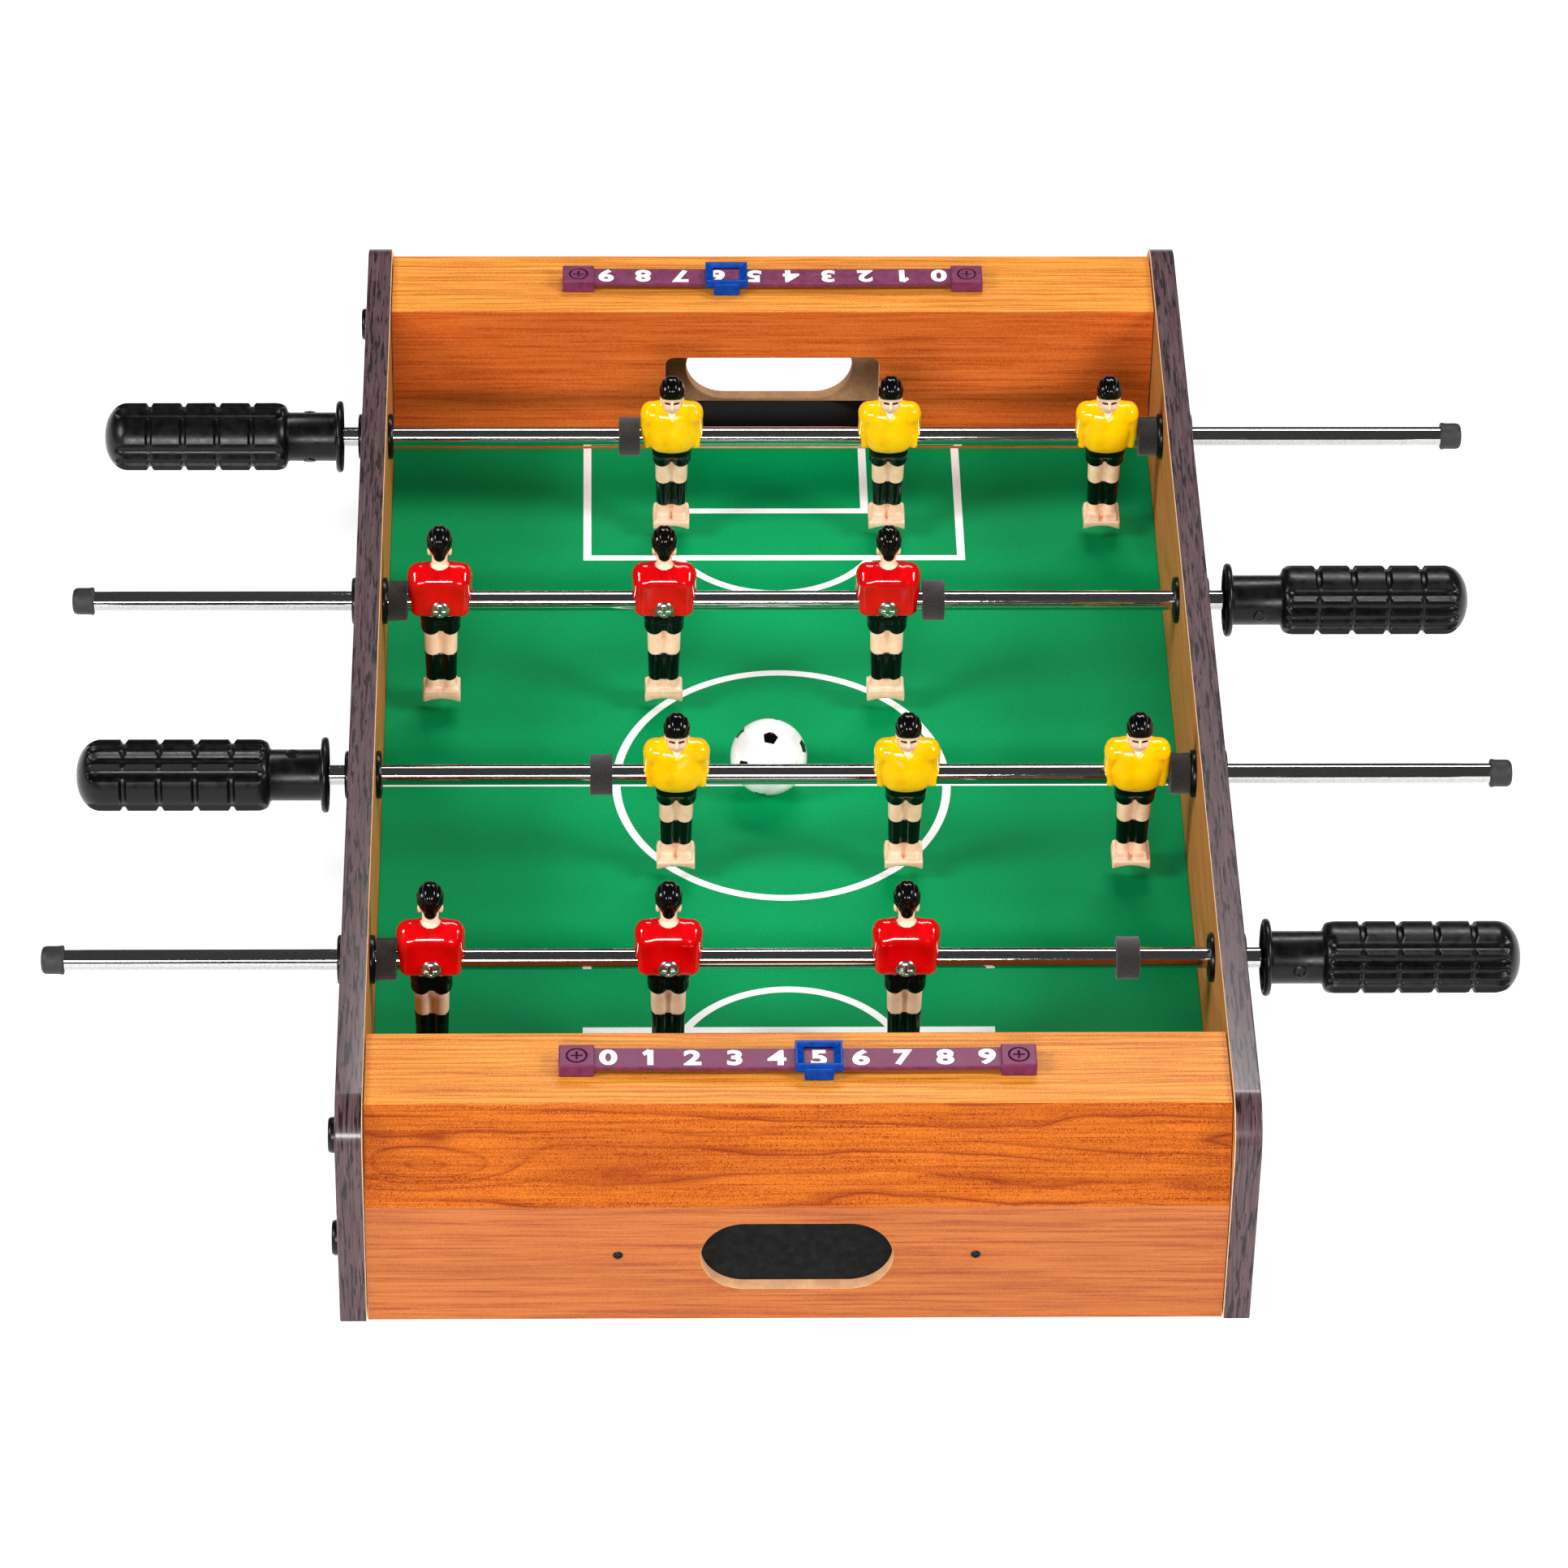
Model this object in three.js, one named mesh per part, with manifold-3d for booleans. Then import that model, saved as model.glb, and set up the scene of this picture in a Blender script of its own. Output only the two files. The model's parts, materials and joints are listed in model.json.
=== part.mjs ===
// Tabletop foosball: a small football table with four chromed rods, three men on each.
// Millimetres. +Z is up, X runs along the rods and Y runs from goal to goal.
// The origin is on the ground, under the centre of the cabinet.

import * as THREE from 'three';
import { mergeVertices } from 'three/addons/utils/BufferGeometryUtils.js';
import Module from 'manifold-3d';

const wasm = await Module();
wasm.setup();

// ---------------------------------------------------------------- driving dimensions

const SEAT_GAP = 0.1;                 // between two flat faces that rest on each other
const FIT_GAP = 0.3;                  // around curved, cut and turned neighbours
const CUT_MARGIN = 5;                 // how far a cutting tool runs past what it cuts

const cabinet = {
  width: 310,
  length: 510,
  height: 90,
  panelThickness: 9.25,
  panelCornerRadius: 16.8,
};
const innerHalfWidth = cabinet.width / 2 - cabinet.panelThickness;

// An end board is one sheet, wrapped and folded into an upside-down channel.
const endBoard = {
  thickness: 4.8,
  goalFaceY: 206.1,
  topEdgeY: 242.1,
  outerFaceY: 254.3,
  topZ: 87.8,
  slopeFootZ: 52,
  goalLegFootZ: 4,
};

const goal = { width: 82, topZ: 65.5, cornerRadius: 3.5 };
const returnHole = { width: 65, height: 30, centreZ: 29 };

const field = { topZ: 22.45, thickness: 4, grooveDepth: 2.4 };

const tray = { innerWidth: 100, wall: 2, floorZ: 13, topZ: 50, flangeWidth: 16, flangeBottomZ: 14 };
tray.flangeTopZ = 44;

const rod = { diameter: 7.3, wall: 0.8, pitch: 99.5, axisZ: 71 };

// Places along a rod, measured from its middle man. Positive is towards the end cap.
const along = { capEnd: 216.2, handleTip: -294.85, handleLength: 89.5, rodInHandle: 62 };

const bushing = { barrelDiameter: 11, flangeDiameter: 17.1, flangeThickness: 1.8, runningGap: 0.2 };
const bumper = { diameter: 15, length: 8, squeezedLength: 7, boreGap: 0.3 };
const endCap = { diameter: 9.9, length: 8, overlap: 6, rounding: 1.6 };
const man = { pitch: 81.9, halfWidth: 11.6 };
const handle = {
  flangeDiameter: 27,
  flangeThickness: 2.6,
  flangeRegion: 4.4,
  neckDiameter: 18.3,
  neckLength: 16.6,
  gripDiameter: 25.6,
  grooveDepth: 1.3,
  grooveHalfWidth: 1.2,
  groovePitch: 12.75,
  grooves: 4,
};

const screwCap = { diameter: 12.2, height: 2.4 };
const nearScrewCaps = [{ y: -243.5, z: 75.5 }, { y: -241, z: 26 }];
const farScrewCaps = [{ y: 222, z: 70 }, { y: 241, z: 26 }];

const scoreBar = {
  length: 160.6,
  blockLength: 12,
  blockWidth: 10.7,
  blockHeight: 5.2,
  stripWidth: 9,
  stripBottom: 2.4,
  stripTop: 4.2,
  centreY: 223.4,
};
const slider = {
  length: 15.8,
  width: 13,
  bottom: 0.5,
  top: 6,
  windowLength: 9.4,
  windowWidth: 6.2,
  lugLength: 9.1,
  lugDepth: 3,
  lugTop: 3.2,
  digitPitch: 14.15,
};

const ball = { diameter: 28, x: -4.9, y: 1.5 };

// How far every rod stands from the middle of its travel: each rests with its cap-side
// bumper squeezed against the bushing on that side.
const bushingFace = innerHalfWidth - SEAT_GAP - bushing.flangeThickness;
const bumperInner = man.pitch + man.halfWidth + FIT_GAP;
const rodShift = bushingFace - FIT_GAP - (bumperInner + bumper.squeezedLength);

// Centre of each handle-side bumper along its rod. Friction alone holds a bumper on a rod,
// so on the third and fourth rods it stands away from the man.
const handleSideBumper = [-97.8, -98.6, -108.6, -158.7];

// ---------------------------------------------------------------- materials

const finish = {
  panel: [0x6b555c, 0.5, 0],
  board: [0xd98a3d, 0.45, 0],
  felt: [0x00824a, 0.9, 0],
  tray: [0x1b1b1c, 0.6, 0],
  scoreBar: [0x86406a, 0.45, 0],
  slider: [0x0b46a4, 0.35, 0],
  chrome: [0xd8d8d8, 0.12, 1],
  blackPlastic: [0x161617, 0.4, 0],
  rubber: [0x2c2c2d, 0.75, 0],
  foam: [0x232122, 0.95, 0],
  yellow: [0xf4c20d, 0.25, 0],
  red: [0xcc0f14, 0.25, 0],
  ball: [0xf4f4f4, 0.2, 0],
};

function material([color, roughness, metalness]) {
  return new THREE.MeshStandardMaterial({ color, roughness, metalness });
}

// ---------------------------------------------------------------- geometry helpers

// Turns a closed three.js geometry into a solid that can be joined and cut.
function solid(geometry) {
  const bare = geometry.clone();
  bare.deleteAttribute('normal');
  bare.deleteAttribute('uv');
  const merged = mergeVertices(bare, 1e-3);
  const points = merged.attributes.position.array;
  const corners = [];
  for (let i = 0; i < merged.index.count; i += 3) {
    const [a, b, c] = [0, 1, 2].map((k) => merged.index.getX(i + k));
    if (a !== b && b !== c && a !== c) {
      corners.push(a, b, c);
    }
  }
  if (signedVolume(points, corners) < 0) {
    corners.reverse();
  }
  const mesh = new wasm.Mesh({
    numProp: 3,
    vertProperties: new Float32Array(points),
    triVerts: new Uint32Array(corners),
  });
  return new wasm.Manifold(mesh);
}

function signedVolume(points, corners) {
  const at = (index) => new THREE.Vector3().fromArray(points, index * 3);
  let sum = 0;
  for (let i = 0; i < corners.length; i += 3) {
    const [a, b, c] = [at(corners[i]), at(corners[i + 1]), at(corners[i + 2])];
    sum += a.dot(b.cross(c)) / 6;
  }
  return sum;
}

function geometryOf(body) {
  const mesh = body.getMesh();
  const geometry = new THREE.BufferGeometry();
  const positions = new Float32Array(mesh.vertProperties);
  geometry.setAttribute('position', new THREE.BufferAttribute(positions, 3));
  geometry.setIndex(new THREE.BufferAttribute(new Uint32Array(mesh.triVerts), 1));
  return geometry;
}

function piece(name, body, look) {
  const flat = geometryOf(body).toNonIndexed();
  flat.computeVertexNormals();
  const mesh = new THREE.Mesh(flat, material(look));
  mesh.name = name;
  return mesh;
}

// A box between two corners.
function block([x0, y0, z0], [x1, y1, z1]) {
  const geometry = new THREE.BoxGeometry(x1 - x0, y1 - y0, z1 - z0);
  geometry.translate((x0 + x1) / 2, (y0 + y1) / 2, (z0 + z1) / 2);
  return solid(geometry);
}

// An outline in (y, z), pushed along X from x0 to x1.
function extrudeAlongX(shape, x0, x1, curveSegments = 8) {
  const options = { depth: x1 - x0, bevelEnabled: false, curveSegments };
  const geometry = new THREE.ExtrudeGeometry(shape, options);
  const basis = new THREE.Matrix4();
  basis.makeBasis(new THREE.Vector3(0, 1, 0), new THREE.Vector3(0, 0, 1), new THREE.Vector3(1, 0, 0));
  geometry.applyMatrix4(basis);
  geometry.translate(x0, 0, 0);
  return solid(geometry);
}

// An outline in (x, z), pushed along Y from y0 to y1.
function extrudeAlongY(shape, y0, y1, curveSegments = 8) {
  const options = { depth: y1 - y0, bevelEnabled: false, curveSegments };
  const geometry = new THREE.ExtrudeGeometry(shape, options);
  geometry.rotateX(Math.PI / 2);
  geometry.translate(0, y1, 0);
  return solid(geometry);
}

// A turned shape about the X axis. The profile lists [radius, x].
function turned(profile, sides) {
  const points = profile.map(([radius, x]) => new THREE.Vector2(radius, x));
  const geometry = new THREE.LatheGeometry(points, sides);
  geometry.rotateZ(-Math.PI / 2);
  return solid(geometry);
}

// A ring about the X axis whose bore keeps its full radius between the facets.
function turnedRing(profile, boreRadius, sides) {
  const [first] = profile;
  const last = profile[profile.length - 1];
  const facetRadius = boreRadius / Math.cos(Math.PI / sides);
  return turned([[facetRadius, first[1]], ...profile, [facetRadius, last[1]], [facetRadius, first[1]]], sides);
}

// A stack of oval sections, each { z, x: half width, y: half depth, lean: place in Y }.
function loft(sections, sides) {
  const geometry = new THREE.CylinderGeometry(1, 1, 1, sides, sections.length - 1);
  geometry.rotateX(Math.PI / 2);
  const position = geometry.attributes.position;
  for (let i = 0; i < position.count; i += 1) {
    const level = Math.round((position.getZ(i) + 0.5) * (sections.length - 1));
    const section = sections[level];
    const x = position.getX(i) * section.x;
    const y = position.getY(i) * section.y + section.lean;
    position.setXYZ(i, x, y, section.z);
  }
  return solid(geometry);
}

// ---------------------------------------------------------------- cabinet

function sidePanelOutline() {
  const half = cabinet.length / 2;
  const radius = cabinet.panelCornerRadius;
  const outline = new THREE.Shape();
  outline.moveTo(-half, 0);
  outline.lineTo(half, 0);
  outline.lineTo(half, cabinet.height - radius);
  outline.absarc(half - radius, cabinet.height - radius, radius, 0, Math.PI / 2, false);
  outline.lineTo(-half + radius, cabinet.height);
  outline.absarc(-half + radius, cabinet.height - radius, radius, Math.PI / 2, Math.PI, false);
  outline.lineTo(-half, 0);
  for (const y of rodPlaces()) {
    const hole = new THREE.Path();
    hole.absarc(y, rod.axisZ, bushing.barrelDiameter / 2 + FIT_GAP, 0, Math.PI * 2, true);
    outline.holes.push(hole);
  }
  return outline;
}

function rodPlaces() {
  return [1.5, 0.5, -0.5, -1.5].map((step) => step * rod.pitch);
}

// A side panel, grooved on its inner face for the edge of the playfield.
function sidePanel(side) {
  const [x0, x1] = [innerHalfWidth, cabinet.width / 2].map((x) => x * side).sort((a, b) => a - b);
  const grooveDepth = innerHalfWidth + field.grooveDepth;
  const [g0, g1] = [innerHalfWidth - CUT_MARGIN, grooveDepth].map((x) => x * side).sort((a, b) => a - b);
  const groove = block(
    [g0, -endBoard.goalFaceY, field.topZ - field.thickness - SEAT_GAP],
    [g1, endBoard.goalFaceY, field.topZ + SEAT_GAP],
  );
  return extrudeAlongX(sidePanelOutline(), x0, x1, 8).subtract(groove);
}

// The folded channel at one end, with a goal through its inner leg and a hole through its
// outer leg that hands the ball back. side is +1 at the far end and -1 at the near end.
function endBoardSolid(side) {
  const t = endBoard.thickness;
  const slope = (endBoard.outerFaceY - endBoard.topEdgeY) / (endBoard.topZ - endBoard.slopeFootZ);
  const innerTopY = endBoard.topEdgeY - t * (Math.hypot(1, slope) - slope);
  const innerFootY = endBoard.outerFaceY - t;
  const innerTopZ = endBoard.topZ - t;
  const innerFootZ = innerTopZ - (innerFootY - innerTopY) / slope;
  const fold = [
    [endBoard.goalFaceY, endBoard.goalLegFootZ],
    [endBoard.goalFaceY, endBoard.topZ],
    [endBoard.topEdgeY, endBoard.topZ],
    [endBoard.outerFaceY, endBoard.slopeFootZ],
    [endBoard.outerFaceY, 0],
    [innerFootY, 0],
    [innerFootY, innerFootZ],
    [innerTopY, innerTopZ],
    [endBoard.goalFaceY + t, innerTopZ],
    [endBoard.goalFaceY + t, endBoard.goalLegFootZ],
  ];
  const outline = new THREE.Shape(fold.map(([y, z]) => new THREE.Vector2(y * side, z)));
  const halfWidth = innerHalfWidth - FIT_GAP;
  const goalCut = between(side, endBoard.goalFaceY - CUT_MARGIN, endBoard.goalFaceY + t + CUT_MARGIN);
  const holeCut = between(side, innerFootY - CUT_MARGIN, endBoard.outerFaceY + CUT_MARGIN);
  return extrudeAlongX(outline, -halfWidth, halfWidth)
    .subtract(extrudeAlongY(goalOutline(), ...goalCut, 5))
    .subtract(extrudeAlongY(returnHoleOutline(), ...holeCut, 10));
}

function between(side, a, b) {
  return [a * side, b * side].sort((p, q) => p - q);
}

function goalOutline() {
  const half = goal.width / 2;
  const radius = goal.cornerRadius;
  const shape = new THREE.Shape();
  shape.moveTo(-half, field.topZ);
  shape.lineTo(half, field.topZ);
  shape.lineTo(half, goal.topZ - radius);
  shape.absarc(half - radius, goal.topZ - radius, radius, 0, Math.PI / 2, false);
  shape.lineTo(-half + radius, goal.topZ);
  shape.absarc(-half + radius, goal.topZ - radius, radius, Math.PI / 2, Math.PI, false);
  shape.lineTo(-half, field.topZ);
  return shape;
}

function returnHoleOutline() {
  const radius = returnHole.height / 2;
  const straight = returnHole.width / 2 - radius;
  const shape = new THREE.Shape();
  shape.absarc(straight, returnHole.centreZ, radius, -Math.PI / 2, Math.PI / 2, false);
  shape.absarc(-straight, returnHole.centreZ, radius, Math.PI / 2, Math.PI * 1.5, false);
  return shape;
}

function playfield() {
  const halfX = innerHalfWidth + field.grooveDepth - FIT_GAP;
  const halfY = endBoard.goalFaceY - FIT_GAP;
  return block([-halfX, -halfY, field.topZ - field.thickness], [halfX, halfY, field.topZ]);
}

// The trough that carries a scored ball from the goal to the return hole, held to the
// outer leg of the end board by two flanges.
function ballTray(side) {
  const inner = tray.innerWidth / 2;
  const outer = inner + tray.wall;
  const flangeX = outer + tray.flangeWidth;
  const [y0, y1] = between(
    side,
    endBoard.goalFaceY + endBoard.thickness + FIT_GAP,
    endBoard.outerFaceY - endBoard.thickness - FIT_GAP,
  );
  const outerEnd = side > 0 ? y1 : y0;
  const flangeY = between(side, Math.abs(outerEnd) - tray.wall, Math.abs(outerEnd));
  const hollowMargin = FIT_GAP + CUT_MARGIN;
  const trough = block([-outer, y0, tray.floorZ - tray.wall], [outer, y1, tray.topZ]);
  const hollow = block(
    [-inner, y0 - hollowMargin, tray.floorZ],
    [inner, y1 + hollowMargin, tray.topZ + CUT_MARGIN],
  );
  const flanges = block([-flangeX, flangeY[0], tray.flangeBottomZ], [flangeX, flangeY[1], tray.flangeTopZ]);
  return trough.add(flanges).subtract(hollow);
}

// ---------------------------------------------------------------- score counters

function scoreBarSolid() {
  const half = scoreBar.length / 2;
  const inner = half - scoreBar.blockLength;
  const ends = [[-half, -inner], [inner, half]].map(([x0, x1]) => block(
    [x0, -scoreBar.blockWidth / 2, SEAT_GAP],
    [x1, scoreBar.blockWidth / 2, scoreBar.blockHeight],
  ));
  const strip = block(
    [-inner - 1, -scoreBar.stripWidth / 2, scoreBar.stripBottom],
    [inner + 1, scoreBar.stripWidth / 2, scoreBar.stripTop],
  );
  return strip.add(ends[0]).add(ends[1]);
}

// The counter wraps the strip, shows one digit through its window and has a thumb lug.
function sliderSolid() {
  const halfX = slider.length / 2;
  const halfY = slider.width / 2;
  const channelHalf = scoreBar.stripWidth / 2 + FIT_GAP;
  const body = block([-halfX, -halfY, slider.bottom], [halfX, halfY, slider.top]);
  const channel = block(
    [-halfX - CUT_MARGIN, -channelHalf, scoreBar.stripBottom - FIT_GAP],
    [halfX + CUT_MARGIN, channelHalf, scoreBar.stripTop + FIT_GAP],
  );
  const window = block(
    [-slider.windowLength / 2, -slider.windowWidth / 2, scoreBar.stripTop],
    [slider.windowLength / 2, slider.windowWidth / 2, slider.top + CUT_MARGIN],
  );
  const lug = block(
    [-slider.lugLength / 2, -halfY - slider.lugDepth, slider.bottom],
    [slider.lugLength / 2, -halfY + 0.5, slider.lugTop],
  );
  return body.add(lug).subtract(channel).subtract(window);
}

// ---------------------------------------------------------------- rods and what they carry

function rodTube() {
  const sides = 20;
  const outer = rod.diameter / 2;
  const inner = outer - rod.wall;
  const x0 = along.handleTip + along.handleLength - along.rodInHandle;
  const x1 = along.capEnd - endCap.length + endCap.overlap;
  const profile = [[inner, x0], [outer, x0], [outer, x1], [inner, x1], [inner, x0]];
  return turned(profile, sides);
}

function endCapSolid() {
  const radius = endCap.diameter / 2;
  const bore = rod.diameter / 2 + FIT_GAP;
  const mouth = along.capEnd - endCap.length;
  const floor = mouth + endCap.overlap + FIT_GAP;
  const tip = along.capEnd;
  return turned([
    [0, floor],
    [bore, floor],
    [bore, mouth],
    [radius, mouth],
    [radius, tip - endCap.rounding],
    [radius - endCap.rounding, tip],
    [0, tip],
  ], 12);
}

// A black grip: a dished flange next to the table, a neck that takes the fixing screw,
// and a round-ended grip with grooves around it.
function handleSolid() {
  const sides = 12;
  const mouth = along.handleTip + along.handleLength;
  const bore = (rod.diameter / 2 + FIT_GAP) / Math.cos(Math.PI / sides);
  const boreFloor = mouth - along.rodInHandle - FIT_GAP;
  const flange = handle.flangeDiameter / 2;
  const neck = handle.neckDiameter / 2;
  const grip = handle.gripDiameter / 2;
  const gripStart = mouth - handle.flangeRegion - handle.neckLength;
  const profile = [
    [0, boreFloor],
    [bore, boreFloor],
    [bore, mouth - 1],
    [flange - 1.5, mouth],
    [flange, mouth],
    [flange, mouth - handle.flangeThickness],
    [neck, mouth - handle.flangeRegion],
    [neck, gripStart],
    [grip - 2, gripStart],
    [grip, gripStart - 2.5],
  ];
  for (let i = 0; i < handle.grooves; i += 1) {
    const centre = gripStart - (i + 1) * handle.groovePitch;
    profile.push([grip, centre + handle.grooveHalfWidth]);
    profile.push([grip - handle.grooveDepth, centre]);
    profile.push([grip, centre - handle.grooveHalfWidth]);
  }
  const endRounding = 6;
  profile.push([grip, along.handleTip + endRounding]);
  profile.push([grip - 1.8, along.handleTip + 2]);
  profile.push([grip - endRounding, along.handleTip]);
  profile.push([0, along.handleTip]);
  return turned(profile, sides);
}

function bumperSolid(centre, length) {
  const radius = bumper.diameter / 2;
  const profile = [[radius, centre - length / 2], [radius, centre + length / 2]];
  return turnedRing(profile, rod.diameter / 2 + bumper.boreGap, 12);
}

// A bushing has a flange on each face of the panel. side is the panel it sits in.
function bushingSolid(side) {
  const barrel = bushing.barrelDiameter / 2;
  const flange = bushing.flangeDiameter / 2;
  const innerFace = innerHalfWidth - SEAT_GAP;
  const outerFace = cabinet.width / 2 + SEAT_GAP;
  const profile = [
    [flange, innerFace - bushing.flangeThickness],
    [flange, innerFace],
    [barrel, innerFace],
    [barrel, outerFace],
    [flange, outerFace],
    [flange, outerFace + bushing.flangeThickness],
  ].map(([radius, x]) => [radius, x * side]);
  return turnedRing(profile, rod.diameter / 2 + bushing.runningGap, 12);
}

function screwCapSolid() {
  const radius = screwCap.diameter / 2;
  const face = cabinet.width / 2 + SEAT_GAP;
  const tip = cabinet.width / 2 + screwCap.height;
  const profile = [
    [0, face],
    [radius, face],
    [radius, tip - 1],
    [radius - 1.4, tip],
    [0, tip],
  ].map(([r, x]) => [r, -x]);
  return turned(profile, 12);
}

// One man, hung on the rod at chest height and facing -Y. z is measured from the rod axis.
function manSolid() {
  const torso = loft([
    { z: -4.6, x: 10.6, y: 5.4, lean: -0.2 },
    { z: 0, x: man.halfWidth, y: 6.6, lean: -0.5 },
    { z: 9, x: man.halfWidth, y: 6.6, lean: -1 },
    { z: 14, x: 10.4, y: 5.2, lean: -1.4 },
    { z: 16.6, x: 6, y: 3.4, lean: -1.8 },
  ], 10);
  const legs = loft([
    { z: -38.5, x: 5.6, y: 3.2, lean: 3.2 },
    { z: -22, x: 6, y: 3.6, lean: 2 },
    { z: -20, x: 6.3, y: 4, lean: 1.8 },
    { z: -12, x: 7.4, y: 4.8, lean: 0.6 },
    { z: -3, x: 7.7, y: 4.6, lean: 0 },
  ], 8);
  const head = loft([
    { z: 13, x: 2, y: 2, lean: -5 },
    { z: 17.5, x: 3.4, y: 3.6, lean: -4.6 },
    { z: 24.5, x: 4.7, y: 5.2, lean: -4 },
    { z: 28.6, x: 3.9, y: 4.4, lean: -4.1 },
    { z: 30.9, x: 1.6, y: 1.8, lean: -4.4 },
  ], 8);
  const neck = block([-2.6, -5, 12], [2.6, 0.8, 20]);
  const bore = turnedRod(rod.diameter / 2 + FIT_GAP, man.halfWidth + CUT_MARGIN);
  return torso.add(legs).add(neck).add(head).add(footSolid()).subtract(bore);
}

function turnedRod(radius, halfLength) {
  const sides = 10;
  const facetRadius = radius / Math.cos(Math.PI / sides);
  return turned([[0, -halfLength], [facetRadius, -halfLength], [facetRadius, halfLength], [0, halfLength]], sides);
}

// The foot block, thicker at the heel than at the toe, with a hollow sole.
function footSolid() {
  const [toeY, heelY] = [-3.5, 7.5];
  const [soleZ, toeTopZ, heelTopZ] = [-42.2, -38.2, -36.7];
  const halfWidth = 6.9;
  const hollowRadius = 14;
  const hollowHeight = 1.7;
  const outline = new THREE.Shape([
    new THREE.Vector2(toeY, soleZ),
    new THREE.Vector2(heelY, soleZ),
    new THREE.Vector2(heelY, heelTopZ),
    new THREE.Vector2(toeY, toeTopZ),
  ]);
  const hollow = new THREE.CylinderGeometry(hollowRadius, hollowRadius, heelY - toeY + 2 * CUT_MARGIN, 36);
  hollow.translate(0, (heelY + toeY) / 2, soleZ + hollowHeight - hollowRadius);
  return extrudeAlongX(outline, -halfWidth, halfWidth).subtract(solid(hollow));
}

// ---------------------------------------------------------------- assembly

function build() {
  const table = new THREE.Group();
  addCabinet(table);
  addScoreCounters(table);
  rodPlaces().forEach((y, index) => addRod(table, index, y));
  addBall(table);
  return table;
}

function addCabinet(table) {
  table.add(piece('side_panel_left', sidePanel(-1), finish.panel));
  table.add(piece('side_panel_right', sidePanel(1), finish.panel));
  table.add(piece('end_board_near', endBoardSolid(-1), finish.board));
  table.add(piece('end_board_far', endBoardSolid(1), finish.board));
  table.add(piece('playfield', playfield(), finish.felt));
  table.add(piece('ball_tray_near', ballTray(-1), finish.tray));
  table.add(piece('ball_tray_far', ballTray(1), finish.tray));
  for (const [endName, places] of [['near', nearScrewCaps], ['far', farScrewCaps]]) {
    places.forEach(({ y, z }, index) => {
      const level = index === 0 ? 'upper' : 'lower';
      const cap = piece(`screw_cap_${endName}_${level}`, screwCapSolid(), finish.blackPlastic);
      cap.position.set(0, y, z);
      table.add(cap);
    });
  }
}

// The far bar is turned to be read from the far end, but both thumb lugs point to -Y. The
// near slider frames the 5 and the far one stands a quarter of a step short of the 6.
function addScoreCounters(table) {
  const counters = [
    { end: 'near', side: -1, turn: 0, reading: 5 },
    { end: 'far', side: 1, turn: Math.PI, reading: 5.75 },
  ];
  for (const { end, side, turn, reading } of counters) {
    const counter = new THREE.Group();
    counter.position.set(0, scoreBar.centreY * side, endBoard.topZ);
    counter.rotation.z = turn;
    counter.add(piece(`score_bar_${end}`, scoreBarSolid(), finish.scoreBar));
    const marker = piece(`score_slider_${end}`, sliderSolid(), finish.slider);
    marker.position.x = (reading - 4.5) * slider.digitPitch;
    marker.rotation.z = -turn;
    counter.add(marker);
    table.add(counter);
  }
}

// Rods are numbered from the far end. The first and third have their handle on the left
// and yellow men; the other two are the same assembly turned around, with red men.
function addRod(table, index, y) {
  const number = index + 1;
  const turnedAround = index % 2 === 1;
  const assembly = new THREE.Group();
  assembly.position.set(turnedAround ? -rodShift : rodShift, y, rod.axisZ);
  assembly.rotation.z = turnedAround ? Math.PI : 0;

  assembly.add(piece(`rod_${number}`, rodTube(), finish.chrome));
  assembly.add(piece(`handle_${number}`, handleSolid(), finish.blackPlastic));
  assembly.add(piece(`end_cap_${number}`, endCapSolid(), finish.rubber));
  const order = turnedAround ? ['right', 'middle', 'left'] : ['left', 'middle', 'right'];
  order.forEach((place, step) => {
    const shirt = turnedAround ? finish.red : finish.yellow;
    const figure = piece(`man_${number}_${place}`, manSolid(), shirt);
    figure.position.x = (step - 1) * man.pitch;
    assembly.add(figure);
  });
  const squeezedCentre = bumperInner + bumper.squeezedLength / 2;
  const capSide = bumperSolid(squeezedCentre, bumper.squeezedLength);
  const handleSide = bumperSolid(handleSideBumper[index], bumper.length);
  assembly.add(piece(`bumper_${number}_cap_side`, capSide, finish.foam));
  assembly.add(piece(`bumper_${number}_handle_side`, handleSide, finish.foam));
  table.add(assembly);

  for (const [sideName, side] of [['left', -1], ['right', 1]]) {
    const bush = piece(`bushing_${number}_${sideName}`, bushingSolid(side), finish.blackPlastic);
    bush.position.set(0, y, rod.axisZ);
    table.add(bush);
  }
}

function addBall(table) {
  const radius = ball.diameter / 2;
  const sphere = solid(new THREE.SphereGeometry(radius, 16, 10));
  const mesh = piece('ball', sphere, finish.ball);
  mesh.position.set(ball.x, ball.y, field.topZ + SEAT_GAP + radius);
  table.add(mesh);
}

export default build();
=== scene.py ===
"""The looks of a tabletop foosball table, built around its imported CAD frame.

Lengths are in millimetres until a mesh is made, and +Z is up. Only the floor, the lights
and the camera's clipping are given in metres. Men and handles are modelled in their own
frames, with the origin on the rod's axis.
"""

import json
import math

import bpy
import numpy as np
from mathutils import Matrix, Vector, geometry

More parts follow.
